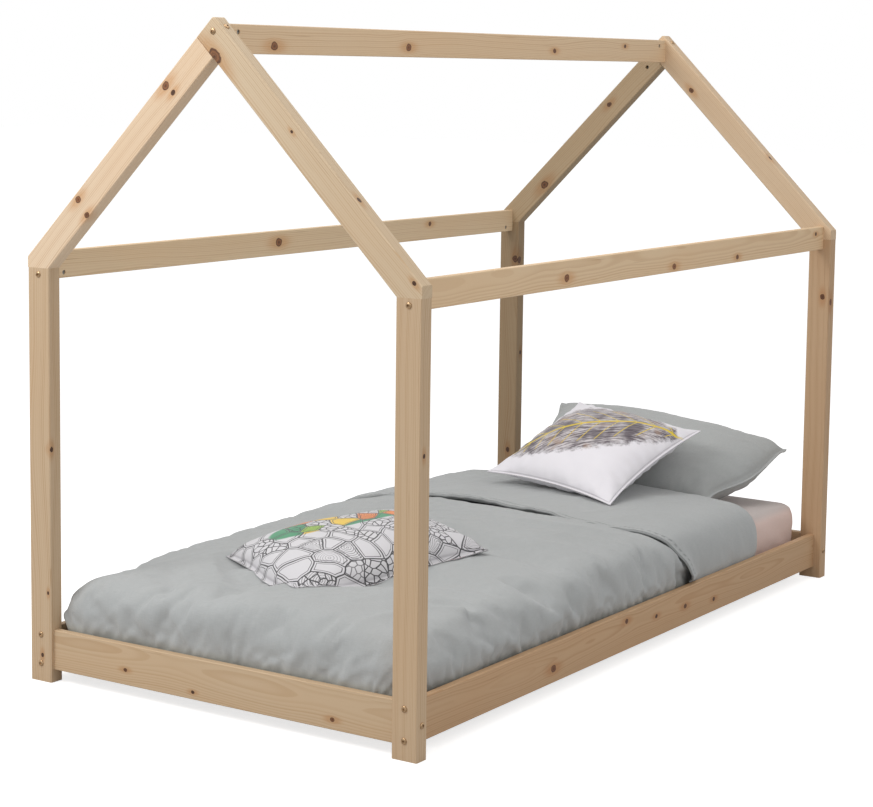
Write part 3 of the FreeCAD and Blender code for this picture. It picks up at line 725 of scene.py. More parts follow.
def grid_faces(numbers):
    """The quads between the points of a grid, out of the grid of the points' numbers."""
    return np.stack([
        numbers[:-1, :-1], numbers[1:, :-1], numbers[1:, 1:], numbers[:-1, 1:]
    ], -1).reshape(-1, 4)


def lay_flat(mesh, flat):
    """Stores each point's place on the flat cloth as the mesh's UV map."""
    corners = np.empty(len(mesh.loops), np.int32)
    mesh.loops.foreach_get("vertex_index", corners)
    layer = mesh.uv_layers.new(name="flat")
    layer.data.foreach_set("uv", np.asarray(flat, np.float32)[corners].ravel())


def new_piece(name, points, faces, flat=None):
    """A smooth-shaded object out of points and faces, with its flat pattern as a UV map."""
    mesh = bpy.data.meshes.new(name)
    mesh.from_pydata(points.tolist(), [], faces.tolist())
    smooth(mesh)
    if flat is not None:
        lay_flat(mesh, flat)
    mesh.validate()
    mesh.update()
    return add(name, mesh)


def mark(piece, name, values):
    """Stores one value for each point, for a material to read."""
    attribute = piece.data.attributes.new(name, "FLOAT", "POINT")
    attribute.data.foreach_set("value", np.asarray(values, np.float32))


def points_of(piece):
    points = np.empty(len(piece.data.vertices) * 3, np.float32)
    piece.data.vertices.foreach_get("co", points)
    return points.reshape(-1, 3).astype(float)


def set_points(piece, points):
    piece.data.vertices.foreach_set("co", np.asarray(points, np.float32).ravel())
    piece.data.update()


def shell(name, outer, inner, flat):
    """A closed piece between two grids of points, with its rim filled in all round."""
    numbers = np.arange(outer[..., 0].size).reshape(outer.shape[:2])
    under = numbers + numbers.size
    rim = np.concatenate([
        numbers[:, 0], numbers[-1, 1:], numbers[-2::-1, -1], numbers[0, -2:0:-1]
    ])
    ahead = np.roll(rim, -1)
    band = np.stack([rim, ahead, ahead + numbers.size, rim + numbers.size], 1)
    faces = np.concatenate([grid_faces(numbers), grid_faces(under)[:, ::-1], band])
    points = np.concatenate([outer.reshape(-1, 3), inner.reshape(-1, 3)])
    piece = new_piece(name, points, faces, flat)
    shape = bmesh.new()
    shape.from_mesh(piece.data)
    bmesh.ops.recalc_face_normals(shape, faces=shape.faces)
    shape.to_mesh(piece.data)
    shape.free()
    return piece


def declare(piece, node):
    """Says which CAD node a soft piece rides on and stands for."""
    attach(piece, node)
    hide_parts(node)


# ---------------------------------------------------------------- woven cloth

WEAVE = 2 * math.pi / 0.0011      # waves of the weave, which repeats after 1.1 mm


def cotton(name, colour, dark, crease=1.0):
    """Washed plain-weave cotton: uneven threads, faded patches and small crumpled creases."""
    shader = Shader(name, Sheen_Weight=0.25, Sheen_Roughness=0.5, Roughness=0.9)
    x, y, _ = shader.flat()
    over = (x * WEAVE).sine() * (y * WEAVE).sine() * 0.5 + 0.5
    slub = shader.grain(x * 60.0, y * 900.0) + shader.grain(x * 900.0, y * 60.0)
    patch = shader.grain(x * 5.0, y * 5.0, detail=3.0, roughness=0.6)
    crumple = shader.grain(x * 34.0, y * 34.0, detail=3.0, distortion=0.3)
    base = shader.layers(
        colour, (dark, (patch - 0.38) * 0.55), (dark, (slub - 0.80) * 0.9), (dark, over * 0.10)
    )
    height = over * 0.25 + slub * 0.45 + crumple * crease * 1.6
    return shader, base, 0.84 + slub * 0.06, height


def woven(shader, base, rough, height):
    """The finished material of a cotton."""
    bump = shader.bump(height, 0.0005)
    return shader.finish(Base_Color=base, Roughness=rough, Normal=bump)


# ---------------------------------------------------------------- mattress

MATTRESS_STEP = 0.0105             # between the points of the mattress
CORNER, TOP_EDGE = 0.045, 0.030    # how far its upright and its level edges are rounded
HEAD_STRETCH = 0.024               # the sheet reaches further out at the head end


def mattress_mesh():
    """A block with rounded corners and soft edges, its cloth pulled tight over it."""
    low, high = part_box("mattress")
    block = square_block("mattress_in_sheet", high - low, (low + high) / 2)
    shape = bmesh.new()
    shape.from_mesh(block.data)
    upright = [e for e in shape.edges if abs(e.verts[0].co.z - e.verts[1].co.z) > 0.05]
    bmesh.ops.bevel(shape, geom=upright, offset=CORNER, segments=10, affect="EDGES", profile=0.5)
    level = [e for e in shape.edges
             if abs(e.verts[0].co.z - e.verts[1].co.z) < 1e-5 and len(e.link_faces) == 2
             and any(abs(f.normal.z) > 0.9 for f in e.link_faces)
             and any(abs(f.normal.z) < 0.1 for f in e.link_faces)]
    bmesh.ops.bevel(shape, geom=level, offset=TOP_EDGE, segments=6, affect="EDGES", profile=0.5)
    shape.to_mesh(block.data)
    shape.free()
    remesh = block.modifiers.new("even_mesh", "REMESH")
    remesh.mode, remesh.voxel_size = "VOXEL", MATTRESS_STEP
    bpy.ops.object.modifier_apply(modifier=remesh.name)
    return block


class BED_OT_make_mattress(bpy.types.Operator):
    """Model the mattress in its fitted sheet"""
    bl_idname = "bed.make_mattress"
    bl_label = "Mattress"

    def execute(self, context):
        piece = mattress_mesh()
        points = points_of(piece)
        low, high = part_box("mattress")
        middle = (low + high) / 2
        x, y, z = points.T
        waves = Ripples(3)
        # gathers that run down the sides, stronger towards the sheet's elastic edge
        depth = (high.z - z) / (high.z - low.z)
        side = smooth_step(0.40, 0.44, np.abs(x)) + smooth_step(0.90, 0.925, np.abs(y))
        pull = waves(y * 16 + 0.8 * z * 40, x * 16 + z * 9) * side * (0.25 + depth)
        # the sheet is drawn tight from its corners: slanting folds low at the head end
        slant = creases(x + y, z, 5, 0.16, 0.030, 0.75, 5) * smooth_step(0.20, 0.60, depth)
        slant = slant * smooth_step(0.655, 0.700, y)
        outward = np.stack([
            np.sign(x) * (np.abs(x) > 0.40),
            np.sign(y - middle.y) * (np.abs(y - middle.y) > 0.885),
            np.zeros_like(z),
        ], 1)
        outward /= np.maximum(np.linalg.norm(outward, axis=1, keepdims=True), 1)
        points = points + outward * (pull * 0.0028 - 0.0012)[:, None]
        points = points + outward * (slant * 0.0040)[:, None]
        points[:, 1] += HEAD_STRETCH * smooth_step(0.75, 0.90, y)
        # the upper face is soft
        points[:, 2] += np.where(z - middle.z > 0.03, waves(x * 5 + 3, y * 5) * 0.0012, 0)
        points[:, 2] = np.clip(points[:, 2], low.z, high.z)
        set_points(piece, points)
        smooth(piece.data)
        flat = np.stack([x + np.where(x > 0, -z, z), y + np.where(y > 0, -z, z)], 1)
        lay_flat(piece.data, flat)
        shader, base, rough, height = cotton(
            "fitted_sheet", chosen("bed_bedding").sheet, tone(222, 192, 181), crease=0.6
        )
        # painted shade: the upper face is greyer and darker than the sides
        _, _, level = shader.split(shader.place())
        base = shader.mix(base, tone(186, 179, 176), level.ramp(0.176, 0.199) * 0.8)
        dress(piece, woven(shader, base, rough, height))
        declare(piece, "mattress")
        return {"FINISHED"}


# ---------------------------------------------------------------- duvet

MATTRESS_LOW, MATTRESS_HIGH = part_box("mattress")
DUVET_LOW, DUVET_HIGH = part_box("duvet")
SHOULDER, DROP = 0.066, 0.052      # how far the mattress edge rounds over: sideways, down
ARC = 0.25 * math.pi * (SHOULDER + DROP)      # the length of cloth that lies round that edge
HALF_WIDTH = MATTRESS_HIGH.x
FOOT_LINE = MATTRESS_LOW.y
FLAT_SIDE, FLAT_FOOT = HALF_WIDTH - SHOULDER, FOOT_LINE + SHOULDER      # where the top ends


def over_mattress(a, b):
    """Where flat cloth lies once it is laid over the mattress: points and outward directions.

    a runs across the bed and b along it, both in metres from the bed's middle. Past the
    mattress edge the cloth turns down the side, and at the corners it is gathered.
    """
    across = np.maximum(np.abs(a) - FLAT_SIDE, 0)
    past_foot = np.maximum(FLAT_FOOT - b, 0)
    reach = np.maximum(across, past_foot)
    share = np.minimum(across, past_foot) / np.where(reach > 0, reach, 1)
    angle = share * math.pi / 4
    angle = np.where(across >= past_foot, angle, math.pi / 2 - angle)
    turn = np.clip(reach / ARC, 0, 1) * math.pi / 2
    out = SHOULDER * np.sin(turn)
    down = DROP * (1 - np.cos(turn)) + np.maximum(reach - ARC, 0)
    side = np.sign(a)
    nx, ny = side * np.cos(angle), -np.sin(angle)
    base_x = np.where(across > 0, side * FLAT_SIDE, a)
    base_y = np.where(past_foot > 0, FLAT_FOOT, b)
    points = np.stack([base_x + nx * out, base_y + ny * out, MATTRESS_HIGH.z - down], -1)
    level = np.sin(turn)
    normal = np.stack([nx * level, ny * level, np.sqrt(1 - level ** 2)], -1)
    return points, normal, reach

def creases(x, y, seed, length_scale, width_scale, heading, sharp):
    """Long thin ridges that run mainly along one heading, between 0 and 1."""
    cos, sin = math.cos(heading), math.sin(heading)
    along, across = x * cos + y * sin, -x * sin + y * cos
    waves = Ripples(seed)
    bend = waves(along * 2.1 + 5, across * 2.1) * 0.10 + waves(x * 7, y * 7 + 9) * 0.02
    value = waves(along / length_scale, (across + bend) / width_scale)
    return np.clip(1 - np.sqrt(value ** 2 + 0.0015), 0, 1) ** sharp


def crossed(x, y, *sets):
    """Several sets of creases, each with its share in front."""
    return sum(share * creases(x, y, *one) for share, *one in sets)


def fold_line(x, y, start, end, width):
    """A single soft ridge from start to end that fades at both ends, between 0 and 1."""
    sx, sy = start
    dx, dy = end[0] - sx, end[1] - sy
    size = math.hypot(dx, dy)
    t = ((x - sx) * dx + (y - sy) * dy) / size ** 2
    off = ((x - sx) * dy - (y - sy) * dx) / size
    off = off + 0.012 * np.sin(t * 5.0 + sx * 40)
    fade = smooth_step(-0.12, 0.25, t) * smooth_step(1.12, 0.70, t)
    return np.exp(-(off / width) ** 2) * fade


def duvet_relief(a, b, reach):
    """The duvet's folds over its flat cloth: soft lumps, creases and gathers at its edges."""
    lumps = Ripples(11)
    crease = chosen("bed_bedding").crease
    relief = 0.0050 * lumps(a * 3.1, b * 3.1) + 0.0028 * lumps(a * 7.0 + 3, b * 6.0)
    patchy = 0.35 + 0.65 * smooth_step(-0.35, 0.5, lumps(a * 2.3 + 7, b * 2.3))
    relief += crease * patchy * crossed(
        a, b, (0.85, 21, 0.55, 0.16, 0.9, 4), (0.60, 22, 0.40, 0.11, -0.5, 5),
        (0.36, 23, 0.22, 0.06, 0.3, 5),
    )
    relief += crease * 0.22 * creases(a, b, 24, 0.12, 0.035, 1.3, 5)
    # gathers where the cloth is pushed down beside the rails
    edge = smooth_step(0.05, 0.14, reach)
    along_edge = np.where(np.abs(a) > FLAT_SIDE + 0.01, b, a)
    relief += 0.0042 * edge * (
        Ripples(31)(along_edge * 13, reach * 3) + 0.6 * Ripples(32)(along_edge * 31, reach * 5)
    )
    for start, end, width, height in (
        ((-0.10, -0.72), (0.16, -0.40), 0.018, 0.0050),
        ((0.02, -0.86), (0.20, -0.56), 0.012, 0.0045),
        ((0.30, -0.90), (0.42, -0.60), 0.012, 0.0045),
        ((-0.38, -0.90), (-0.30, -0.62), 0.016, 0.0045),
        ((0.16, -0.20), (0.46, -0.10), 0.030, 0.0060),
        ((0.10, 0.02), (0.44, 0.06), 0.020, 0.0050),
        ((-0.30, -0.02), (0.05, 0.04), 0.016, 0.0040),
        ((0.46, -0.62), (0.52, -0.50), 0.012, 0.0060),
        ((0.44, -0.34), (0.53, -0.28), 0.014, 0.0060),
    ):
        relief += height * fold_line(a, b, start, end, width)
    return relief


def crown(a):
    """How full the duvet is from side to side: 1 in the middle, 0 at the mattress edge."""
    return 1 - np.clip(np.abs(a) / HALF_WIDTH, 0, 1) ** 2.4


def cover_height(a, b, reach):
    """How far the duvet's upper face stands off the mattress."""
    past_hem = b - hem_line(a)
    under_fold = smooth_step(-0.014, 0.020, past_hem)
    # fuller in the middle and towards the head, flatter under the fold and at the foot
    thick = 0.013 + 0.030 * crown(a) + 0.016 * smooth_step(-0.75, 0.0, b)
    thick = thick - 0.012 * under_fold - smooth_step(FOOT_LINE + 0.30, FOOT_LINE, b) * 0.010
    side = 0.0195 - 0.008 * smooth_step(ARC, ARC + 0.07, reach)
    side = np.where(b < FOOT_LINE + SHOULDER * 0.5, 0.0105, side) - 0.011 * under_fold
    # hollow on the right, where the fold's hem stands open
    pocket = smooth_step(-0.075, -0.020, past_hem) * smooth_step(0.05, 0.10, reach)
    side = side - 0.012 * pocket * (a > 0)
    hanging = smooth_step(0.03, ARC, reach)
    return thick * (1 - hanging) + np.maximum(side, 0.007) * hanging


CLOTH_STEP = 0.0065               # between the points of the duvet
EVERY = 2                         # the simulated cloth has every second row and column
SLACK, BENDING = 0.042, 5.0       # how much too large the cloth is, and how stiff
FRAMES, LARGEST_MOVE = 24, 0.013  # how long it runs, and how far it may move the cloth


def crumple(outer, pinned):
    """Lets a grid of cloth that is a little too large for its place buckle into folds.

    outer is a grid of points. Returns the same grid after a cloth simulation on a coarser
    one, whose movement is spread over the finer grid and kept small.
    """
    coarse = outer[::EVERY, ::EVERY]
    held = pinned[::EVERY, ::EVERY]
    start = coarse.reshape(-1, 3)
    shaken = start + np.random.default_rng(5).normal(0, 0.0004, start.shape)
    piece = new_piece("crumple", shaken, grid_faces(np.arange(held.size).reshape(held.shape)))
    group = piece.vertex_groups.new(name="held")
    for index, weight in enumerate(held.ravel()):
        if weight > 0:
            group.add([index], float(weight), "REPLACE")
    pick(piece)
    cloth = piece.modifiers.new("crumple", "CLOTH")
    stuff = cloth.settings
    stuff.quality = 5
    stuff.mass = 0.3
    stuff.air_damping = 5
    stuff.tension_stiffness = stuff.compression_stiffness = 40
    stuff.shear_stiffness = 12
    stuff.bending_stiffness = BENDING
    stuff.shrink_min = -SLACK
    stuff.vertex_group_mass = "held"
    stuff.pin_stiffness = 3
    stuff.effector_weights.gravity = 0
    cloth.collision_settings.use_collision = False
    scene = bpy.context.scene
    for number in range(1, FRAMES + 1):
        scene.frame_set(number)
    bpy.ops.object.modifier_apply(modifier=cloth.name)
    scene.frame_set(1)
    moved = (points_of(piece) - start).reshape(coarse.shape)
    bpy.data.objects.remove(piece)
    size = np.linalg.norm(moved, axis=-1, keepdims=True)
    moved = moved * np.minimum(1, LARGEST_MOVE / np.maximum(size, 1e-9))
    return outer + spread(moved, *outer.shape[:2])


def spread(values, rows, columns):
    """Values on a coarse grid, blended smoothly onto the finer grid it was taken from."""
    def along(array, count):
        where = np.arange(count) / EVERY
        low = np.minimum(where.astype(int), len(array) - 1)
        high = np.minimum(low + 1, len(array) - 1)
        share = (where - low).reshape(-1, *[1] * (array.ndim - 1))
        before, after = np.maximum(low - 1, 0), np.minimum(high + 1, len(array) - 1)
        p0, p1, p2, p3 = array[before], array[low], array[high], array[after]
        return p1 + 0.5 * share * (p2 - p0 + share * (
            2 * p0 - 5 * p1 + 4 * p2 - p3 + share * (3 * (p1 - p2) + p3 - p0)))
    return along(along(values, rows).swapaxes(0, 1), columns).swapaxes(0, 1)


def cloth_spacing(low, high):
    return np.linspace(low, high, round((high - low) / CLOTH_STEP) + 1)


def hang_length(clear):
    """How far cloth hangs below the rounded edge, to end just above the foot of the duvet."""
    return MATTRESS_HIGH.z - DROP - (DUVET_LOW.z + clear)


def duvet_cover():
    """The duvet's lower layer: over the mattress, down both sides and the foot."""
    hang = hang_length(0.002)
    reach = FLAT_SIDE + ARC + hang
    a = cloth_spacing(-reach, reach)
    b = cloth_spacing(FLAT_FOOT - ARC - hang, 0.600)
    grid_b, grid_a = np.meshgrid(b, a, indexing="ij")
    base, normal, past = over_mattress(grid_a, grid_b)
    lift = cover_height(grid_a, grid_b, past) + duvet_relief(grid_a, grid_b, past)
    outer = base + normal * np.maximum(lift, 0.004)[..., None]
    outer = crumple(outer, np.maximum.reduce([
        smooth_step(0.05, 0.0, reach - np.abs(grid_a)),
        smooth_step(0.05, 0.0, grid_b - b[0]),
        smooth_step(0.03, 0.0, b[-1] - grid_b),
    ]))
    lift = ((outer - base) * normal).sum(-1)
    shoulder = np.sin(np.clip(past / ARC, 0, 1) * math.pi)
    least = 0.0065 + 0.0115 * shoulder
    outer = outer + normal * np.maximum(least - lift, 0)[..., None]
    fine = crossed(grid_a, grid_b, (1.0, 23, 0.22, 0.060, 0.3, 6), (0.7, 24, 0.16, 0.035, 1.1, 6))
    patchy = smooth_step(-0.25, 0.45, Ripples(25)(grid_a * 3.2, grid_b * 3.2))
    outer = outer + normal * (chosen("bed_bedding").crease * 0.42 * fine * patchy)[..., None]
    outer = corner_ear(outer, grid_a, grid_b)
    inner = base + normal * (0.0026 + 0.0105 * shoulder)[..., None]
    flat = np.stack([grid_a, grid_b], -1).reshape(-1, 2)
    return shell("duvet_cover", kept_inside(outer), kept_inside(inner), np.tile(flat, (2, 1)))


def corner_ear(points, a, b):
    """The loose corner that sticks out over the end rail on the left."""
    away = np.hypot(a + (FLAT_SIDE + ARC + 0.010), b - (FLAT_FOOT - ARC - 0.012))
    pull = np.exp(-(away / 0.036) ** 1.3)
    return points + pull[..., None] * np.array([-0.008, -0.018, 0.006])


BESIDE_RAILS = 0.122              # cloth below this height lies between the rails
RAIL_GAP, FOOT_GAP = 0.0022, 0.0020      # how far it is held from the side and end rails
POST_GAP_SIDE, POST_GAP_FOOT = 0.0010, 0.0008


def kept_inside(points):
    """The cloth's points, held clear of the rails and posts that stand round it."""
    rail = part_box("side_rail_right")[0].x - RAIL_GAP
    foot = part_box("end_rail_foot")[1].y + FOOT_GAP
    post_low, post_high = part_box("post_foot_right")
    x, y, z = np.moveaxis(points, -1, 0)
    beside = z < BESIDE_RAILS
    x = np.where(beside, np.clip(x, -rail, rail), x)
    y = np.where(beside, np.maximum(y, foot), y)
    by_post = np.abs(x) > post_low.x - POST_GAP_SIDE
    y = np.where(by_post, np.maximum(y, post_high.y + POST_GAP_FOOT), y)
    return np.stack([x, y, z], -1)


HEM_POINTS = (
    (-0.60, 0.235), (-0.47, 0.130), (-0.40, 0.085), (-0.30, 0.135), (-0.20, 0.178),
    (-0.10, 0.170), (0.0, 0.150), (0.10, 0.128), (0.20, 0.115), (0.32, 0.125),
    (0.40, 0.158), (0.423, 0.182), (0.453, 0.214), (0.483, 0.241), (0.514, 0.252),
    (0.60, 0.262),
)
NOSE = DUVET_HIGH.y


def hem_line(a):
    """Where the folded edge lies along the bed, for each place across the cloth."""
    where, value = zip(*HEM_POINTS)
    return np.interp(a, where, value)


def fold_height(a, b, reach):
    """How far the folded part's upper face stands off the mattress."""
    hanging = smooth_step(0.03, ARC, reach)
    # its hem stands open over the right rail
    gape = smooth_step(0.080, 0.0, b - hem_line(a)) * (a > 0)
    gape = gape * smooth_step(0.045, 0.080, reach) * smooth_step(0.140, 0.105, reach)
    top = 0.041 + 0.026 * crown(a) - smooth_step(0.42, 0.66, b) * 0.006
    return top * (1 - hanging) + (0.0215 + 0.013 * gape) * hanging


def duvet_fold():
    """The duvet's head end, folded back over itself: a hairpin whose nose faces the pillow."""
    reach = FLAT_SIDE + ARC + hang_length(0.001)
    # t is 0 at the hem, 1 at the nose, and 2 where the cloth has turned under
    t = np.concatenate([np.linspace(0, 1, 84)[:-1], np.linspace(1, 2, 22)])
    grid_t, grid_a = np.meshgrid(t, cloth_spacing(-reach, reach), indexing="ij")
    turned = grid_t > 1
    past_side = np.maximum(np.abs(grid_a) - FLAT_SIDE, 0)
    hanging = smooth_step(0.03, ARC, past_side)
    hem = hem_line(grid_a)
    # the nose bulges half way down the side and draws in at the bottom
    drop = np.maximum(past_side - 0.02, 0)
    nose = NOSE - 0.004 - 0.052 * smooth_step(0.07, 0.19, drop) - 0.010 * hanging
    radius = np.minimum(0.5 * fold_height(grid_a, nose, past_side), 0.030)
    bow = np.sin(np.clip(grid_t - 1, 0, 1) * math.pi)
    b = np.where(turned, nose - radius, hem + (nose - radius - hem) * grid_t) + radius * bow
    base, normal, past = over_mattress(grid_a, b)
    upper = fold_height(grid_a, b, past)
    relief = fold_relief(grid_a, b, past, grid_t, hem)
    share = 0.5 + 0.5 * np.cos(np.clip(grid_t - 1, 0, 1) * math.pi)
    lift = 0.0015 + (upper - 0.0015) * share + relief * share
    outer = base + normal * lift[..., None]
    cloth = 0.011 + 0.004 * (1 - hanging)
    cloth = cloth * (0.40 + 0.60 * smooth_step(0.0, 0.05, grid_t))
    inner_base, inner_normal, _ = over_mattress(grid_a, b - turned * cloth * bow)
    inner_lift = np.where(
        turned, 0.0015 + 0.5 * cloth + (upper - cloth) * share * 0.9, lift - cloth
    )
    inner = inner_base + inner_normal * inner_lift[..., None]
    flat = np.stack([grid_a, b + turned * 0.1 * (grid_t - 1)], -1).reshape(-1, 2)
    piece = shell("duvet_fold", kept_inside(outer), kept_inside(inner), np.tile(flat, (2, 1)))
    from_hem = (b - hem + turned).ravel()
    mark(piece, "from_hem", np.concatenate([from_hem, from_hem + 1]))
    return piece


def fold_relief(a, b, reach, t, hem):
    """Folds of the part that is turned back, and its thin stitched hem."""
    edge = b - hem
    relief = 0.0040 * Ripples(41)(a * 3.4, b * 3.4 + 4)
    relief += chosen("bed_bedding").crease * crossed(
        a, b, (0.55, 42, 0.50, 0.13, 0.15, 4), (0.45, 43, 0.30, 0.08, 1.2, 5),
        (0.25, 44, 0.14, 0.04, 0.6, 5),
    )
    relief += 0.0060 * smooth_step(0.060, 0.0, edge) * (t < 1) * (
        0.55 + np.clip(1.3 * Ripples(47)(a * 5.5, a * 0 + 0.3), -0.4, 1))
    relief += 0.0024 * Ripples(45)(a * 24, edge * 20) * smooth_step(0.035, 0.0, edge) * (t < 1)
    relief += 0.0030 * smooth_step(0.03, 0.10, reach) * Ripples(46)(b * 22, reach * 4)
    return relief


class BED_OT_make_duvet(bpy.types.Operator):
    """Lay the duvet over the mattress and fold its head end back"""
    bl_idname = "bed.make_duvet"
    bl_label = "Duvet"

    def execute(self, context):
        bedding = chosen("bed_bedding")
        look = bedding.duvet, tone(160, 164, 163)
        shader, base, rough, height = cotton("duvet_cotton", *look)
        x, y, _ = shader.flat()
        # painted shade and warm light bounced off the wood, where it is tucked in beside the
        # rails, and beside the end rail
        tucked_shade_and_bounce = abs(x).ramp(0.487, 0.513).most(y.ramp(-0.978, -1.004))
        base = shader.mix(base, tone(150, 146, 126), tucked_shade_and_bounce * 0.5)
        plain = woven(shader, base, rough, height)

        shader, base, rough, height = cotton("duvet_hem_cotton", *look)
        from_hem = shader.marked("from_hem")
        x, _, _ = shader.flat()
        line = abs(from_hem - bedding.hem).ramp(0.0060, 0.0020)
        stitch = line * (x * (2 * math.pi / 0.0090)).sine().ramp(-0.4, 0.4)
        # painted shade along the folded edge, and darker dashes along the stitch line
        edge_shade = from_hem.ramp(0.0045, 0.0015)
        base = shader.mix(base, tone(110, 114, 113), (stitch * 0.55).most(edge_shade * 0.6))
        gather = shader.grain(x * 110.0, from_hem * 20.0)
        height = height + gather * from_hem.ramp(0.060, 0.012) * 4.0 - line * 3.0
        hemmed = woven(shader, base, rough, height)
        for piece, material in ((duvet_cover(), plain), (duvet_fold(), hemmed)):
            dress(piece, material)
            declare(piece, "duvet")
        return {"FINISHED"}


# ---------------------------------------------------------------- pillow and cushions

FLANGE = 0.974            # share of each half side that is filled; the rest is the flat seam
SEAM_HALF = 0.0015        # half the thickness of that seam
COVER_STEP = 0.006        # between the points of a cover


def beside_seam(share):
    """Where gathers stand: none on the seam itself, most just inside it, none further in."""
    return np.exp(-((1 - share) / 0.20) ** 2) * (1 - np.exp(-((1 - share) / 0.03) ** 2))


def stuffed(name, width, depth, above, below, draw_in, puckers, seed, power=2.5, edge=0.5):
    """A filled cover lying flat round the origin: two crowned sheets sewn together at a seam.

    Its sides are drawn in between pointed corners. Small gathers run in from the seam, and
    long shallow folds from the corners towards the middle.
    """
    u, v = (np.sin(np.linspace(-1, 1, round(side / COVER_STEP) + 1) * 1.35) / math.sin(1.35)
            for side in (width, depth))
    grid_v, grid_u = np.meshgrid(v, u, indexing="ij")
    x = grid_u * (width / 2 - draw_in * (1 - grid_v ** 2) * grid_u ** 2)
    y = grid_v * (depth / 2 - draw_in * (1 - grid_u ** 2) * grid_v ** 2)
    across, up = (np.minimum(np.abs(g) / FLANGE, 1) for g in (grid_u, grid_v))
    dome = ((1 - across ** power) * (1 - up ** power)) ** edge
    waves = Ripples(seed)
    gathers = beside_seam(across) * waves(y * 42, x * 5) * (1 - up ** 4)
    gathers += beside_seam(up) * waves(x * 42, y * 5 + 7) * (1 - across ** 4)
    corner = smooth_step(0.45, 0.95, across) * smooth_step(0.45, 0.95, up)
    folds = corner * np.sin((across - up) * 16 + 2.0 * waves(x * 4, y * 4))
    soft = waves(x * 7 + 3, y * 7) + 0.5 * creases(x, y, seed + 1, 0.30, 0.07, 0.7, 4)
    relief = puckers * (gathers + 0.7 * folds + 0.8 * soft * dome)
    relief = relief * np.minimum(1, dome * 4)
    sheets = []
    for side, high in ((1, above), (-1, below)):
        z = SEAM_HALF + high * dome + np.maximum(relief, -high * dome * 0.6)
        sheets.append(np.stack([x, y, side * z], -1))
    flat = np.concatenate([unrolled(sheet) for sheet in sheets])
    flat[dome.size:, 1] += 3 * depth      # the lower sheet's pattern lies apart
    piece = shell(name, *sheets, flat)
    from_seam = np.minimum((1 - across) * width / 2, (1 - up) * depth / 2).ravel()
    mark(piece, "from_seam", np.tile(from_seam, 2))
    return piece


def unrolled(sheet):
    """Where each point of a grid lies on its cloth: lengths along it from its middle lines."""
    lengths = []
    for axis in (1, 0):
        step = np.linalg.norm(np.diff(sheet, axis=axis), axis=-1)
        start = np.zeros_like(np.take(step, [0], axis))
        total = np.concatenate([start, np.cumsum(step, axis)], axis)
        lengths.append(total - np.take(total, [total.shape[axis] // 2], axis))
    return np.stack(lengths, -1).reshape(-1, 2)


def tug(piece, at, radius, shift):
    """Pulls the cover's cloth near one point of its flat pattern by a shift."""
    points = points_of(piece)
    away = np.hypot(points[:, 0] - at[0], points[:, 1] - at[1])
    pull = np.exp(-(away / radius) ** 2)
    set_points(piece, points + pull[:, None] * np.array(shift))


def set_down(piece, position, yaw, pitch, roll):
    """Turns a piece from lying flat to how it lies in the bed."""
    turn = (Matrix.Rotation(math.radians(yaw), 4, "Z")
            @ Matrix.Rotation(math.radians(pitch), 4, "Y")
            @ Matrix.Rotation(math.radians(roll), 4, "X"))
    piece.data.transform(Matrix.Translation(position) @ turn)
    piece.data.update()


def surface_of(pieces):
    """Something to drop points on: the upper faces of several pieces."""
    points, faces = [], []
    for piece in pieces:
        start = len(points)
        points += [v.co.copy() for v in piece.data.vertices]
        faces += [[start + k for k in p.vertices] for p in piece.data.polygons]
    return BVHTree.FromPolygons(points, faces)


def rest_on(piece, supports, gap=0.0012):
    """Flattens a piece where it would sink into what it lies on."""
    tree = surface_of(supports)
    points = points_of(piece)
    lift = np.zeros(len(points))
    for index, point in enumerate(points):
        hit, _, _, _ = tree.ray_cast(Vector((point[0], point[1], 1.0)), -UP)
        if hit and hit.z + gap > point[2]:
            lift[index] = hit.z + gap - point[2]
    points[:, 2] += lift
    set_points(piece, points)


class BED_OT_make_pillow(bpy.types.Operator):
    """Fill the pillow and lay it at the head of the bed"""
    bl_idname = "bed.make_pillow"
    bl_label = "Pillow"

    def execute(self, context):
        piece = stuffed("head_pillow", 0.690, 0.365, 0.100, 0.085, 0.008, 0.0050, 61)
        for place in (-0.22, -0.08, 0.08, 0.22):
            tug(piece, (place, 0.135), 0.090, (0.0, 0.0, -0.007))
        tug(piece, (0.345, -0.18), 0.13, (-0.085, 0.050, 0.0))
        tug(piece, (0.345, 0.183), 0.030, (-0.002, -0.010, -0.014))
        tug(piece, (0.345, 0.183), 0.010, (0.004, 0.0, 0.012))
        tug(piece, (-0.345, -0.18), 0.17, (0.075, 0.040, 0.0))
        tug(piece, (-0.345, 0.183), 0.045, (-0.014, -0.006, 0.003))
        set_down(piece, (0.050, 0.800, 0.298), 0, 3.8, 24)
        rest_on(piece, [bpy.data.objects["mattress_in_sheet"], bpy.data.objects["duvet_fold"]])
        look = chosen("bed_bedding").pillow, tone(155, 158, 157)
        dress(piece, woven(*cotton("pillow_cotton", *look)))
        declare(piece, "pillow")
        return {"FINISHED"}


def satin(name, colour):
    """Smooth printed cover cloth, before its picture: shader, place, colour and relief."""
    shader = Shader(name, Roughness=0.55, Sheen_Weight=0.15)
    x, y, _ = shader.flat()
    thread = shader.grain(x * 1600.0, y * 1600.0, detail=1.0)
    patch = shader.grain(x * 9.0, y * 9.0)
    seam = shader.marked("from_seam")
    seam = seam.ramp(0.0026, 0.0008) * seam.ramp(0.0002, 0.0008)
    base = shader.layers(
        colour, (tone(200, 196, 204), (patch - 0.42) * 0.5), (tone(150, 146, 152), seam * 0.45)
    )
    return shader, x, y, base, shader.bump(thread - seam * 4.0, 0.0001)


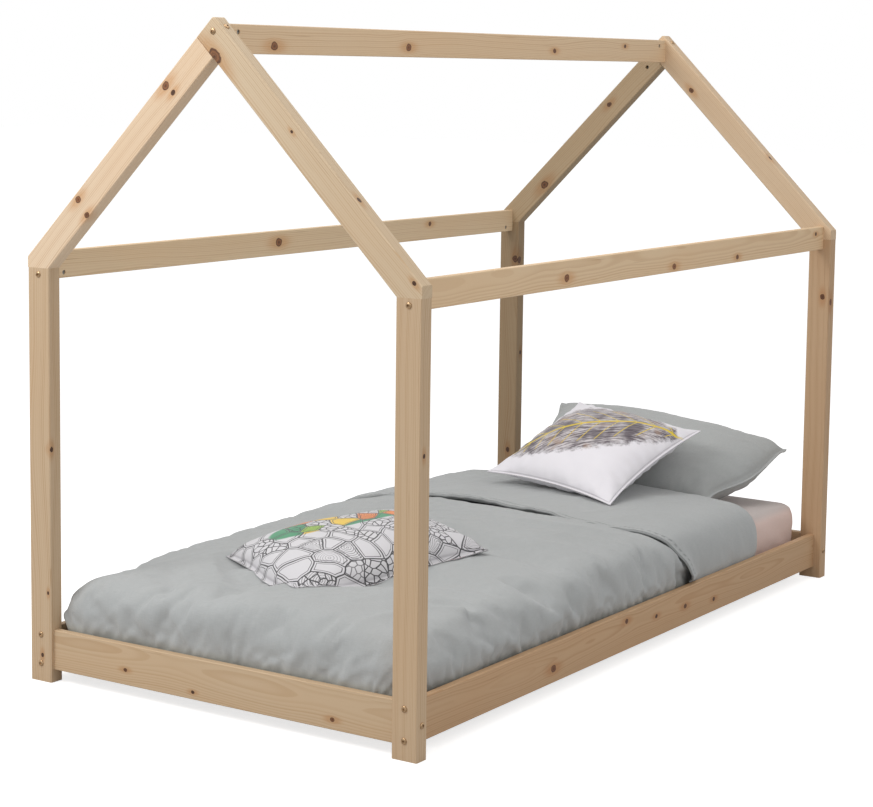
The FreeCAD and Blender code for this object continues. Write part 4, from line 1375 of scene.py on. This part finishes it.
class BED_OT_make_square_cushion(bpy.types.Operator):
    """Fill the square cushion and lay it against the pillow"""
    bl_idname = "bed.make_square_cushion"
    bl_label = "Square cushion"

    def execute(self, context):
        piece = stuffed(
            "square_cushion_printed", 0.402, 0.402, 0.066, 0.056, 0.022, 0.0068, 62, 2.4, 0.62
        )
        set_down(piece, (0.046, 0.531, 0.353), -8, 4.6, 21.2)
        rest_on(piece, [bpy.data.objects["duvet_fold"], bpy.data.objects["head_pillow"]])
        dress(piece, leaf_print())
        declare(piece, "square_cushion")
        return {"FINISHED"}


def leaf_print():
    """White cover with one large mottled leaf in grey and brown, with yellow veins."""
    shader, x, y, base, bump = satin("leaf_print", chosen("bed_bedding").cover)
    angle = math.radians(38)
    along = (x * math.cos(angle) + y * math.sin(angle)) * 0.88
    across = (y * math.cos(angle) - x * math.sin(angle)) * 0.88
    bow = across + along * along * 0.9 - 0.03
    off = abs(bow)
    width = (1 - (along * along) / 0.042).most(0.0) * 0.105
    ragged = shader.grain(along * 60.0, across * 60.0, detail=3.0, roughness=0.7) - 0.5
    inside = (off + ragged * 0.05 - width).ramp(0.012, -0.010) * abs(along).ramp(0.205, 0.190)
    hatch = shader.grain(along * 26.0 + off * 60.0, bow * 190.0, detail=3.0, roughness=0.7)
    cloud = shader.grain(along * 16.0, across * 16.0)
    mottled = shader.layers(
        tone(214, 208, 210),
        (tone(86, 74, 82), hatch.ramp(0.38, 0.62)),
        (tone(70, 58, 68), cloud.ramp(0.46, 0.66) * 0.8),
        (tone(160, 132, 112), cloud.ramp(0.44, 0.34) * 0.6),
    )
    midrib = off.ramp(0.0042, 0.0030) * abs(along).ramp(0.215, 0.19)
    side_vein = abs(((along + off * 0.8) * 24.0).fraction() - 0.5).ramp(0.045, 0.02)
    side_vein = side_vein * (off - width * 0.72).ramp(0.004, -0.004) * inside
    base = shader.layers(base, (mottled, inside), (tone(222, 196, 58), midrib.most(side_vein)))
    return shader.finish(Base_Color=base, Normal=bump)


class BED_OT_make_oblong_cushion(bpy.types.Operator):
    """Fill the oblong cushion and lay it on the duvet"""
    bl_idname = "bed.make_oblong_cushion"
    bl_label = "Oblong cushion"

    def execute(self, context):
        piece = stuffed(
            "oblong_cushion_printed", 0.490, 0.320, 0.081, 0.026, 0.006, 0.0034, 63, 2.6, 0.45
        )
        tug(piece, (-0.11, -0.160), 0.19, (0.0, -0.085, 0.0))
        tug(piece, (-0.245, -0.110), 0.13, (-0.028, 0.0, 0.0))
        tug(piece, (-0.285, -0.230), 0.040, (0.012, 0.010, 0.0))
        tug(piece, (0.245, -0.160), 0.05, (0.010, 0.004, 0.004))
        set_down(piece, (0.003, -0.485, 0.256), 64, -3.3, 1.3)
        rest_on(piece, [bpy.data.objects["duvet_cover"]])
        dress(piece, pebble_print())
        declare(piece, "oblong_cushion")
        return {"FINISHED"}


def pebble_print():
    """White cover with a drawing of pebbles, scallops and rings in black, some coloured in."""
    shader, x, y, base, bump = satin("pebble_print", tone(214, 212, 215))
    sway, sway_y = shader.grain(x * 8.0, y * 8.0), shader.grain(x * 8.0 + 9.0, y * 8.0)
    point = shader.join(x + (sway - 0.5) * 0.05, y + (sway_y - 0.5) * 0.05)
    large = shader.cells(point, 22.0, "DISTANCE_TO_EDGE")
    small = shader.cells(point, 62.0, "DISTANCE_TO_EDGE")
    petal = shader.cells(point, 22.0, "F1")
    which = shader.cells(point, 22.0, "F1", 1)
    red, green = (shader.node("ShaderNodeSeparateColor", {}, (which,), k) for k in (0, 1))
    outline = large.ramp(0.040, 0.024)
    second = abs(large - 0.12).ramp(0.020, 0.010) * green.ramp(0.40, 0.42)
    crumbs = small.ramp(0.10, 0.06) * green.ramp(0.36, 0.34)
    rings = abs((petal * 9.0).fraction() - 0.5).ramp(0.13, 0.06) * red.ramp(0.76, 0.78)
    ink = outline.most(second).most(crumbs).most(rings)
    # one patch of the drawing is coloured in, in some of its pebbles
    across, up = (x - 0.02) / 0.21, (y - 0.052) / 0.066
    spot = (across * across + up * up).root().ramp(1.02, 0.96)
    hue = shader.node("ShaderNodeValToRGB", {"bands": [
        (0.0, tone(232, 128, 32)), (0.22, tone(236, 196, 40)), (0.44, tone(36, 140, 92)),
        (0.62, tone(206, 36, 92)), (0.78, tone(232, 128, 32)), (0.92, tone(150, 190, 50))]},
        (red,))
    wash = spot * large.ramp(0.030, 0.040) * green.ramp(0.24, 0.26)
    base = shader.layers(base, (hue, wash * 0.95), (chosen("bed_bedding").ink, ink * 0.96))
    return shader.finish(Base_Color=base, Normal=bump)


# ---------------------------------------------------------------- stage

CAMERA_PLACE = (2.796, -4.413, 1.343)
CAMERA_TURN, CAMERA_RISE, CAMERA_ROLL = (math.radians(a) for a in (33.312, 6.395, 0.725))
LENS, SENSOR, SHIFT = 90.08, 36.0, -0.1031


def aim_camera():
    back = Vector((
        math.sin(CAMERA_TURN) * math.cos(CAMERA_RISE),
        -math.cos(CAMERA_TURN) * math.cos(CAMERA_RISE),
        math.sin(CAMERA_RISE),
    ))
    right = Vector((math.cos(CAMERA_TURN), math.sin(CAMERA_TURN), 0))
    up = back.cross(right)
    cos, sin = math.cos(CAMERA_ROLL), math.sin(CAMERA_ROLL)
    columns = (right * cos + up * sin, up * cos - right * sin, back)
    matrix = Matrix(columns).transposed().to_4x4()
    matrix.translation = CAMERA_PLACE
    data = bpy.data.cameras.new("camera")
    data.lens, data.sensor_width, data.sensor_fit = LENS, SENSOR, "HORIZONTAL"
    data.shift_y = SHIFT
    data.clip_end = 200
    camera = add("camera", data)
    camera.matrix_world = matrix
    bpy.context.scene.camera = camera


def soft_light(name, place, target, size, power):
    data = bpy.data.lights.new(name, "AREA")
    data.shape, data.size, data.size_y = "RECTANGLE", size[0], size[1]
    data.energy = power
    light = add(name, data)
    light.location = place
    direction = Vector(target) - Vector(place)
    light.rotation_euler = direction.to_track_quat("-Z", "Y").to_euler()


def pale_floor():
    """A wide floor that looks white to the camera but keeps the bed's soft shadow."""
    bpy.ops.mesh.primitive_plane_add(size=60, location=(0, 0, -0.0005))
    floor = bpy.context.object
    floor.name = "floor"
    shader = Shader("floor", Base_Color=(*chosen("bed_stage").floor, 1), Roughness=0.9,
                    Specular_IOR_Level=0.1, Emission_Strength=0.72)
    seen = shader.node("ShaderNodeLightPath", output="Is Camera Ray")
    dress(floor, shader.finish(Emission_Color=shader.mix((0, 0, 0), (1, 1, 1), seen)))


def room_light():
    """White where the camera or a shiny surface sees it, dimmer as light on the bed."""
    world = bpy.data.worlds.new("room")
    bpy.context.scene.world = world
    world.use_nodes = True
    room = Nodes(world.node_tree)
    seen, glossy = (
        room.node("ShaderNodeLightPath", output=f"Is {ray} Ray") for ray in ("Camera", "Glossy")
    )
    strength = room.node("ShaderNodeMapRange", {}, {
        "Value": seen.most(glossy), "To Min": chosen("bed_stage").room, "To Max": 1.0,
    })
    background = world.node_tree.nodes["Background"]
    room.tree.links.new(strength.output, background.inputs["Strength"])
    background.inputs["Color"].default_value = (1, 1, 1, 1)


class BED_OT_set_stage(bpy.types.Operator):
    """Add the floor, the soft light and the camera"""
    bl_idname = "bed.set_stage"
    bl_label = "Stage"

    def execute(self, context):
        stage = chosen("bed_stage")
        pale_floor()
        room_light()
        soft_light("key", (-1.2, -2.9, 3.0), (0, -0.3, 0.7), (1.8, 1.5), stage.key)
        soft_light("fill", (3.2, -0.9, 2.7), (0, 0, 0.6), (2.2, 2.2), stage.fill)
        soft_light("top", (0.2, -0.2, 3.4), (0.2, -0.2, 0), (2.4, 2.8), stage.top)
        scene = context.scene
        scene.view_settings.view_transform = "Standard"
        aim_camera()
        return {"FINISHED"}


# ---------------------------------------------------------------- panel and run

OPERATORS = (
    BED_OT_set_stage, BED_OT_finish_wood, BED_OT_make_bolts, BED_OT_make_nuts,
    BED_OT_make_mattress, BED_OT_make_duvet, BED_OT_make_pillow,
    BED_OT_make_square_cushion, BED_OT_make_oblong_cushion,
)


class BED_PT_panel(bpy.types.Panel):
    bl_idname = "BED_PT_panel"
    bl_label = "House bed"
    bl_space_type = "VIEW_3D"
    bl_region_type = "UI"
    bl_category = "House Bed"

    def draw(self, context):
        for group, kind in GROUPS.items():
            box = self.layout.box()
            for name in kind.__annotations__:
                box.prop(getattr(context.scene, group), name)
        for operator in OPERATORS:
            self.layout.operator(operator.bl_idname)


def register():
    for kind in (*GROUPS.values(), *OPERATORS, BED_PT_panel):
        bpy.utils.register_class(kind)
    for name, kind in GROUPS.items():
        setattr(bpy.types.Scene, name, PointerProperty(type=kind))


def unregister():
    for name in GROUPS:
        delattr(bpy.types.Scene, name)
    for kind in reversed((*GROUPS.values(), *OPERATORS, BED_PT_panel)):
        bpy.utils.unregister_class(kind)


def plain(box):
    return [list(map(float, corner)) for corner in box]


def main():
    register()
    for operator in OPERATORS:
        group, name = operator.bl_idname.split(".")
        getattr(getattr(bpy.ops, group), name)()


if __name__ == "__main__":
    main()
